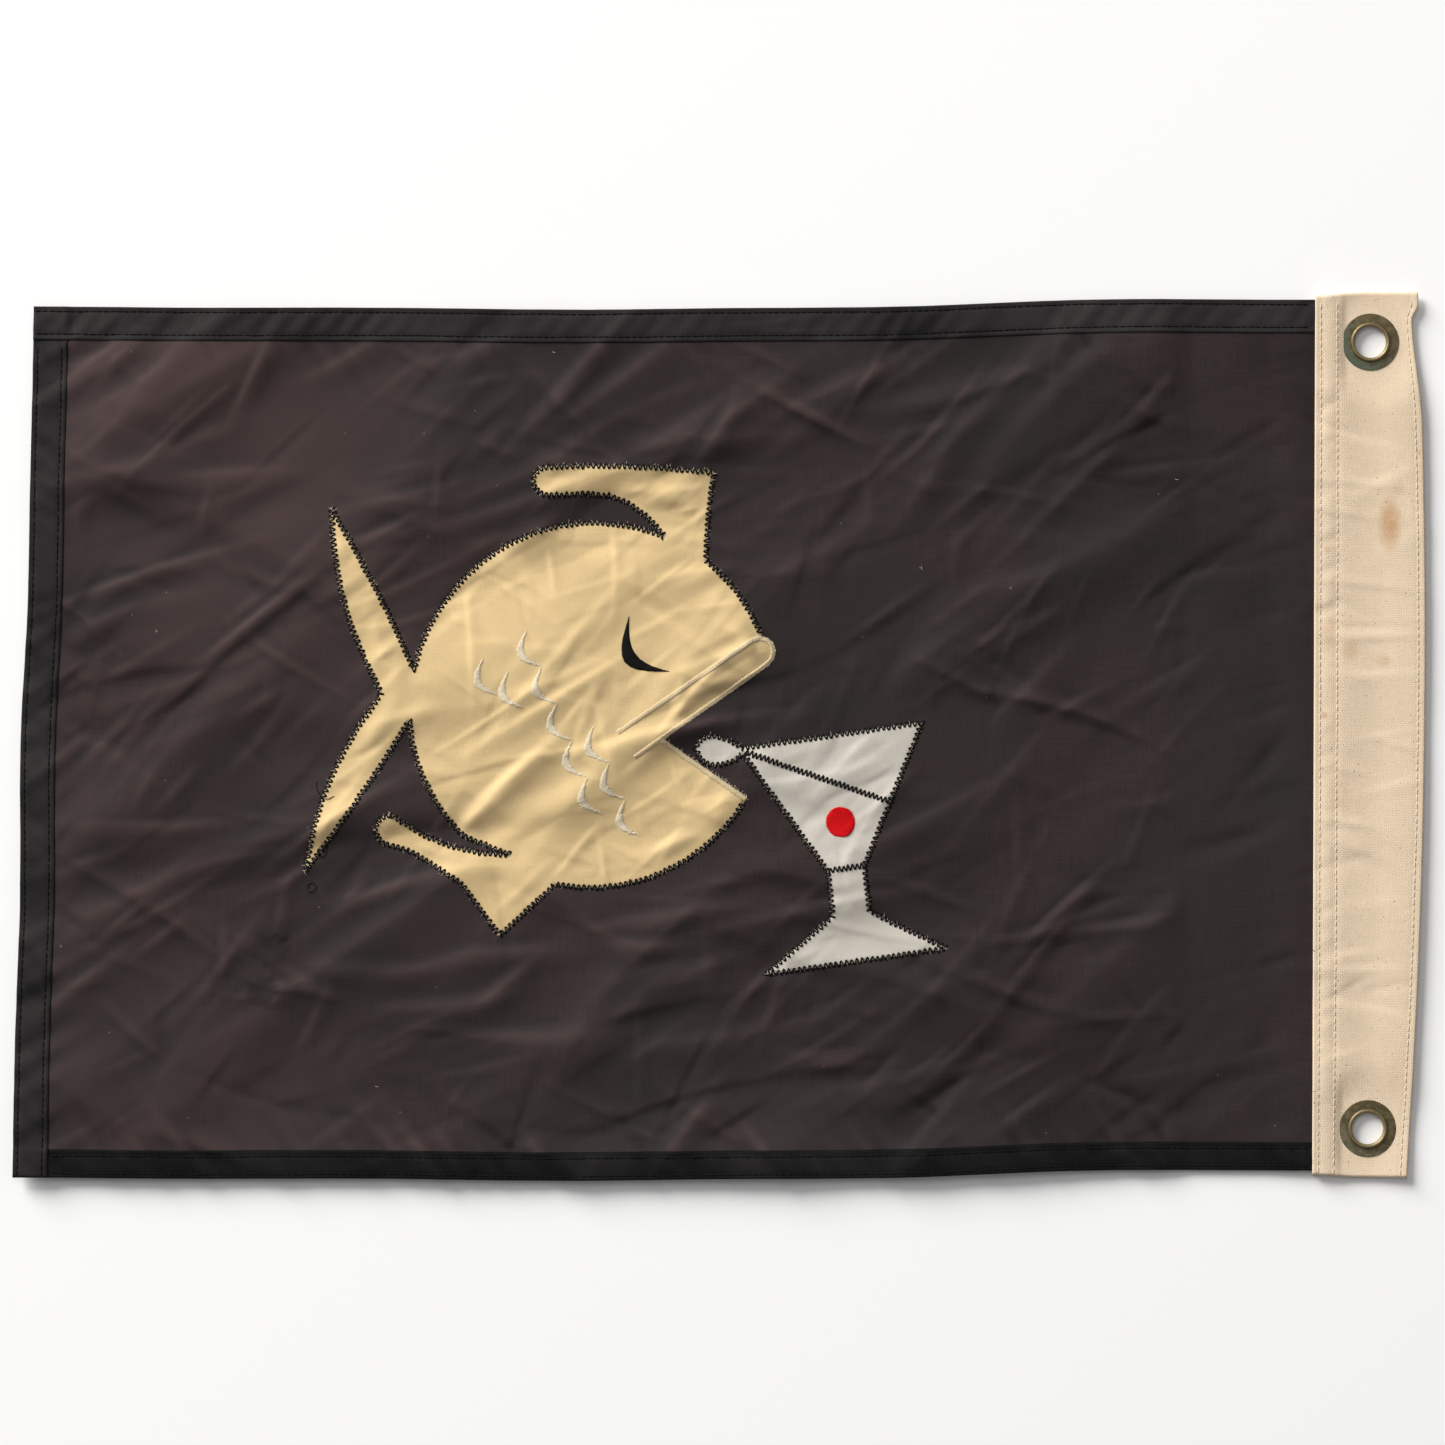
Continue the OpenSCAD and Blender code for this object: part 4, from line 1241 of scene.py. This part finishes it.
def zigzag(path, closed, kind, pitch, width, seed):
    """Zigzag threads along a path, from one side to the other and back."""
    rng = np.random.default_rng(seed)
    points, along = spaced(path, pitch / 2, closed)
    count = len(points)
    side = np.where(np.arange(count) % 2, 1.0, -1.0) * width / 2 * rng.uniform(0.82, 1.12, count)
    needle = points + left_of(along) * side[:, None] + rng.normal(0, 0.07, (count, 2))
    if closed:
        needle = np.vstack([needle, needle[:1]])
    a, b = needle[:-1], needle[1:]
    share = np.array([0.0, 0.16, 0.5, 0.84, 1.0])
    x = a[:, :1] + (b - a)[:, :1] * share
    y = a[:, 1:] + (b - a)[:, 1:] * share
    arch = np.array([-0.12, 0.10, 0.16, 0.10, -0.12])
    return laid(x, y, on_patch(kind, x, y) + arch)


def satin(left, right, kind, pitch, seed, loft=0.22, ragged=0.10):
    """Satin threads that lie side by side between two rails."""
    rng = np.random.default_rng(seed)
    run = max(np.linalg.norm(np.diff(rail, axis=0), axis=1).sum() for rail in (left, right))
    count = int(run / pitch)
    rails = []
    for rail in (left, right):
        edge = np.linalg.norm(np.diff(rail, axis=0), axis=1)
        where = np.concatenate([[0], np.cumsum(edge)]) / edge.sum()
        at = np.linspace(0.004, 0.996, count)
        rails.append(np.column_stack([np.interp(at, where, rail[:, k]) for k in range(2)]))
    a, b = rails
    out = (b - a) / (np.linalg.norm(b - a, axis=1, keepdims=True) + 1e-9)
    a = a - out * rng.uniform(-ragged, ragged, (count, 1))
    b = b + out * rng.uniform(-ragged, ragged, (count, 1))
    span = np.linalg.norm(b - a, axis=1, keepdims=True)
    share = np.array([0.0, 0.1, 0.32, 0.68, 0.9, 1.0])
    x = a[:, :1] + (b - a)[:, :1] * share
    y = a[:, 1:] + (b - a)[:, 1:] * share
    arch = np.array([-0.10, 0.42, 0.92, 0.92, 0.42, -0.10]) * loft
    arch = arch * np.clip(span / 1.6, 0.35, 1.0)
    arch = arch + rng.uniform(-0.025, 0.025, (count, 1))
    return laid(x, y, on_patch(kind, x, y) + arch + 0.06)


def rails_of(loop):
    """The two long sides of a crescent or a disc, from tip to tip."""
    a, b = widest_pair(loop)
    return loop[a:b + 1], np.vstack([loop[b:], loop[:a + 1]])[::-1]


def lay_patch(context, kind, slot, material):
    """Lays a patch on the field as a sheet cut to its outline."""
    step = context.scene.flag_sizes.patch_step / MM
    piece = patch_sheet(kind + "_cloth", kind, step, material)
    on_body(piece, slot, "field", kind + "_patch")


class FLAG_OT_fish_patch(bpy.types.Operator):
    """Lay the fish cut from yellow cotton"""

    bl_idname = "flag.fish_patch"
    bl_label = "Fish Patch"

    def execute(self, context):
        colours = context.scene.flag_colours
        material = shared_material(
            "yellow_cotton", cotton_material, list(colours.yellow), 0.42, 0.05, DIRT_AND_CREASE_SHADE_ON_YELLOW, 0.75
        )
        lay_patch(context, "fish", "yellow_cotton", material)
        return {"FINISHED"}


def lip_rails():
    """Two rails of the band round the lip, from its upper end to its lower one."""
    loop = outline("lip_stitching")
    width = side_lengths(outline("jaw_stitching")).min()
    ends = np.argsort(np.abs(side_lengths(loop) - width))[:2]
    first, second = sorted(int(i) for i in ends)
    one = loop[first + 1:second + 1]
    other = np.vstack([loop[second + 1:], loop[:first + 1]])[::-1]
    return one, other


class FLAG_OT_fish_stitching(bpy.types.Operator):
    """Sew the fish down with black zigzag and embroider its lips, jaw, scales and eye"""

    bl_idname = "flag.fish_stitching"
    bl_label = "Fish Stitching"

    def execute(self, context):
        sizes = context.scene.flag_sizes
        thread, fine = sizes.zigzag_thread / MM, sizes.satin_thread / MM
        pitch, width = sizes.zigzag_pitch / MM, sizes.zigzag_width / MM
        satin_pitch = sizes.satin_pitch / MM
        edge, _ = spaced(FISH, 0.5, closed=True)
        sewn_cream = np.zeros(len(edge), dtype=bool)
        for node in ("lip_stitching", "jaw_stitching"):
            low, high = box_mm(node)
            within = (edge > low[:2] - 0.9) & (edge < high[:2] + 0.9)
            sewn_cream |= within.all(axis=1)
        first = int(np.flatnonzero(sewn_cream & ~np.roll(sewn_cream, -1))[0])
        order = (np.arange(len(edge)) + first) % len(edge)
        back = edge[order][: int((~sewn_cream).sum()) + 2]
        piece = tubes(
            "fish_edge_stitches", zigzag(back, False, "fish", pitch, width, 121), thread / 2,
            thread_of("black_thread"),
        )
        on_body(piece, "black_thread", "field", "fish_edge_zigzag")
        cream, lips = thread_of("cream_thread"), thread_of("lip_thread")
        threads = satin(*lip_rails(), "fish", satin_pitch, 122, 0.14, 0.2)
        piece = tubes("lip_satin", threads, fine / 2, lips)
        on_body(piece, "cream_thread", "field", "lip_stitching")
        jaw = outline("jaw_stitching")
        start, end = middle_line(jaw)
        across = left_of(((end - start) / np.linalg.norm(end - start))[None, :])[0]
        half = side_lengths(jaw).min() / 2
        rails = [np.array([start + across * s * half, end + across * s * half]) for s in (-1, 1)]
        threads = satin(*rails, "fish", satin_pitch, 123, 0.14, 0.2)
        piece = tubes("jaw_satin", threads, fine / 2, lips)
        on_body(piece, "cream_thread", "field", "jaw_stitching")
        scales = [
            satin(*rails_of(loop), "fish", satin_pitch, 130 + i, 0.13, 0.34)
            for i, loop in enumerate(outlines("scale_embroidery"))
        ]
        piece = tubes("scale_satin", np.concatenate(scales), fine / 2, cream)
        on_body(piece, "cream_thread", "field", "scale_embroidery")
        threads = satin(*rails_of(outline("eye_embroidery")), "fish", satin_pitch * 0.9, 150)
        piece = tubes("eye_satin", threads, fine / 2, thread_of("black_thread"))
        on_body(piece, "black_thread", "field", "eye_embroidery")
        return {"FINISHED"}


class FLAG_OT_glass_patch(bpy.types.Operator):
    """Lay the cocktail glass cut from grey cotton"""

    bl_idname = "flag.glass_patch"
    bl_label = "Glass Patch"

    def execute(self, context):
        colours = context.scene.flag_colours
        material = shared_material(
            "grey_cotton", cotton_material, list(colours.grey), 0.36, 0.05, DIRT_AND_CREASE_SHADE_ON_GREY, 0.8
        )
        lay_patch(context, "glass", "grey_cotton", material)
        return {"FINISHED"}


class FLAG_OT_glass_stitching(bpy.types.Operator):
    """Sew the glass down, draw its lines in zigzag and embroider the cherry"""

    bl_idname = "flag.glass_stitching"
    bl_label = "Glass Stitching"

    def execute(self, context):
        sizes = context.scene.flag_sizes
        thread, fine = sizes.zigzag_thread / MM, sizes.satin_thread / MM
        pitch, width = sizes.zigzag_pitch / MM, sizes.zigzag_width / MM
        black = thread_of("black_thread")
        threads = zigzag(GLASS, True, "glass", pitch, width, 161)
        piece = tubes("glass_edge_stitches", threads, thread / 2, black)
        on_body(piece, "black_thread", "field", "glass_edge_zigzag")
        for seed, node in enumerate(("drink_line_zigzag", "stem_line_zigzag"), 162):
            start, end = middle_line(outline(node))
            reach = (end - start) / np.linalg.norm(end - start) * 0.8
            line = np.array([start - reach, end + reach])
            threads = zigzag(line, False, "glass", pitch * 0.85, width, seed)
            piece = tubes(node.replace("_zigzag", "_stitches"), threads, thread / 2, black)
            on_body(piece, "black_thread", "field", node)
        rails = rails_of(outline("cherry_embroidery"))
        threads = satin(*rails, "glass", sizes.satin_pitch / MM, 170, 0.3, 0.16)
        piece = tubes("cherry_satin", threads, fine / 2, thread_of("red_thread"))
        on_body(piece, "red_thread", "field", "cherry_embroidery")
        return {"FINISHED"}


# ---- Frayed edges and loose ends ----


FIBRE_R = 0.045
LINT_AT = ((-62, 138), (70, 60), (-200, 40), (160, 90), (-120, -120))


def frays(name, kind, per_mm, long, material, seed):
    """Short fibres that stick out past the cut edge of a patch."""
    rng = np.random.default_rng(seed)
    points, along = spaced(PATCH_LOOP[kind], 1.0 / per_mm, closed=True)
    outward = -left_of(along) if signed_area(PATCH_LOOP[kind]) > 0 else left_of(along)
    count = len(points)
    reach = rng.uniform(0.4, 1.0, (count, 1)) ** 2 * long
    lean = along * rng.normal(0, 0.6, (count, 1)) + outward
    start = points - outward * 0.3 + rng.normal(0, 0.1, (count, 2))
    curl = rng.normal(0, 0.35, (count, 2))
    share = np.array([0.0, 0.35, 0.7, 1.0])[None, :, None]
    reach = reach[:, None]
    xy = start[:, None] + lean[:, None] * reach * share + curl[:, None] * share**2 * reach
    rise = rng.uniform(0.1, 0.5, (count, 1)) * np.array([0.0, 0.5, 0.8, 0.7])
    x, y = xy[..., 0], xy[..., 1]
    return tubes(name, laid(x, y, on_patch(kind, x, y) + rise + 0.02), FIBRE_R, material, sides=4)


def loose_thread(start, wander_by, steps, kind, seed, lift=0.35):
    """One curly loose end that lies on the cloth."""
    rng = np.random.default_rng(seed)
    heading = rng.uniform(0, 2 * math.pi)
    turn = rng.choice([-1, 1]) * rng.uniform(0.25, 0.55)
    points = [np.array(start, float)]
    for _ in range(steps):
        heading += turn + rng.normal(0, 0.25)
        points.append(points[-1] + wander_by * np.array([math.cos(heading), math.sin(heading)]))
    x, y = np.array(points).T
    arch = lift * np.sin(np.linspace(0, math.pi, steps + 1))
    return laid(x, y, on_patch(kind, x, y) + arch + 0.12)


class FLAG_OT_loose_ends(bpy.types.Operator):
    """Fray the cut edges of the patches and leave a few loose ends of thread"""

    bl_idname = "flag.loose_ends"
    bl_label = "Loose Ends"

    def execute(self, context):
        cream, black, white = (thread_of(kind + "_thread") for kind in ("cream", "black", "white"))
        piece = frays("fish_frays", "fish", 4.2, 1.2, cream, 181)
        on_body(piece, "cream_thread", "field")
        piece = frays("glass_frays", "glass", 3.6, 1.0, white, 182)
        on_body(piece, "white_thread", "field")
        tail = FISH[np.argsort(FISH[:, 0])[:6]]
        starts = [tail[i % len(tail)] + (2 + i, 3 * i - 6) for i in range(3)]
        ends = [loose_thread(start, 0.8, 14, "fish", 190 + i) for i, start in enumerate(starts)]
        piece = tubes("black_loose_ends", np.array(ends), 0.12, black)
        on_body(piece, "black_thread", "field")
        lint = [loose_thread(at, 0.3, 5, "fish", i, 0.1) for i, at in enumerate(LINT_AT, 210)]
        piece = tubes("white_lint", np.array(lint), 0.06, white, sides=4)
        on_body(piece, "white_thread", "field")
        return {"FINISHED"}


# ---- Panel and registration ----

PIECES = (
    FLAG_OT_stage, FLAG_OT_field, FLAG_OT_hems, FLAG_OT_hem_stitching, FLAG_OT_heading,
    FLAG_OT_heading_stitching, FLAG_OT_grommets, FLAG_OT_fish_patch, FLAG_OT_fish_stitching,
    FLAG_OT_glass_patch, FLAG_OT_glass_stitching, FLAG_OT_loose_ends,
)


class VIEW3D_PT_boat_flag(bpy.types.Panel):
    """Lists the flag's sizes, its colours and the pieces to make"""

    bl_idname = "VIEW3D_PT_boat_flag"
    bl_label = "Boat Flag"
    bl_space_type = "VIEW_3D"
    bl_region_type = "UI"
    bl_category = "Boat Flag"

    def draw(self, context):
        for group in (context.scene.flag_sizes, context.scene.flag_colours):
            box = self.layout.box()
            for name in group.__annotations__:
                box.prop(group, name)
        for piece in PIECES:
            self.layout.operator(piece.bl_idname)


CLASSES = (FlagSizes, FlagColours, *PIECES, VIEW3D_PT_boat_flag)


def register():
    """Registers the classes and gives the scene its sizes and colours."""
    for made in CLASSES:
        bpy.utils.register_class(made)
    bpy.types.Scene.flag_sizes = PointerProperty(type=FlagSizes)
    bpy.types.Scene.flag_colours = PointerProperty(type=FlagColours)


def unregister():
    """Takes them away again."""
    del bpy.types.Scene.flag_colours
    del bpy.types.Scene.flag_sizes
    for made in reversed(CLASSES):
        bpy.utils.unregister_class(made)


def main():
    """Registers the add-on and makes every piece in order."""
    register()
    for piece in PIECES:
        group, name = piece.bl_idname.split(".")
        getattr(getattr(bpy.ops, group), name)()


if __name__ == "__main__":
    main()
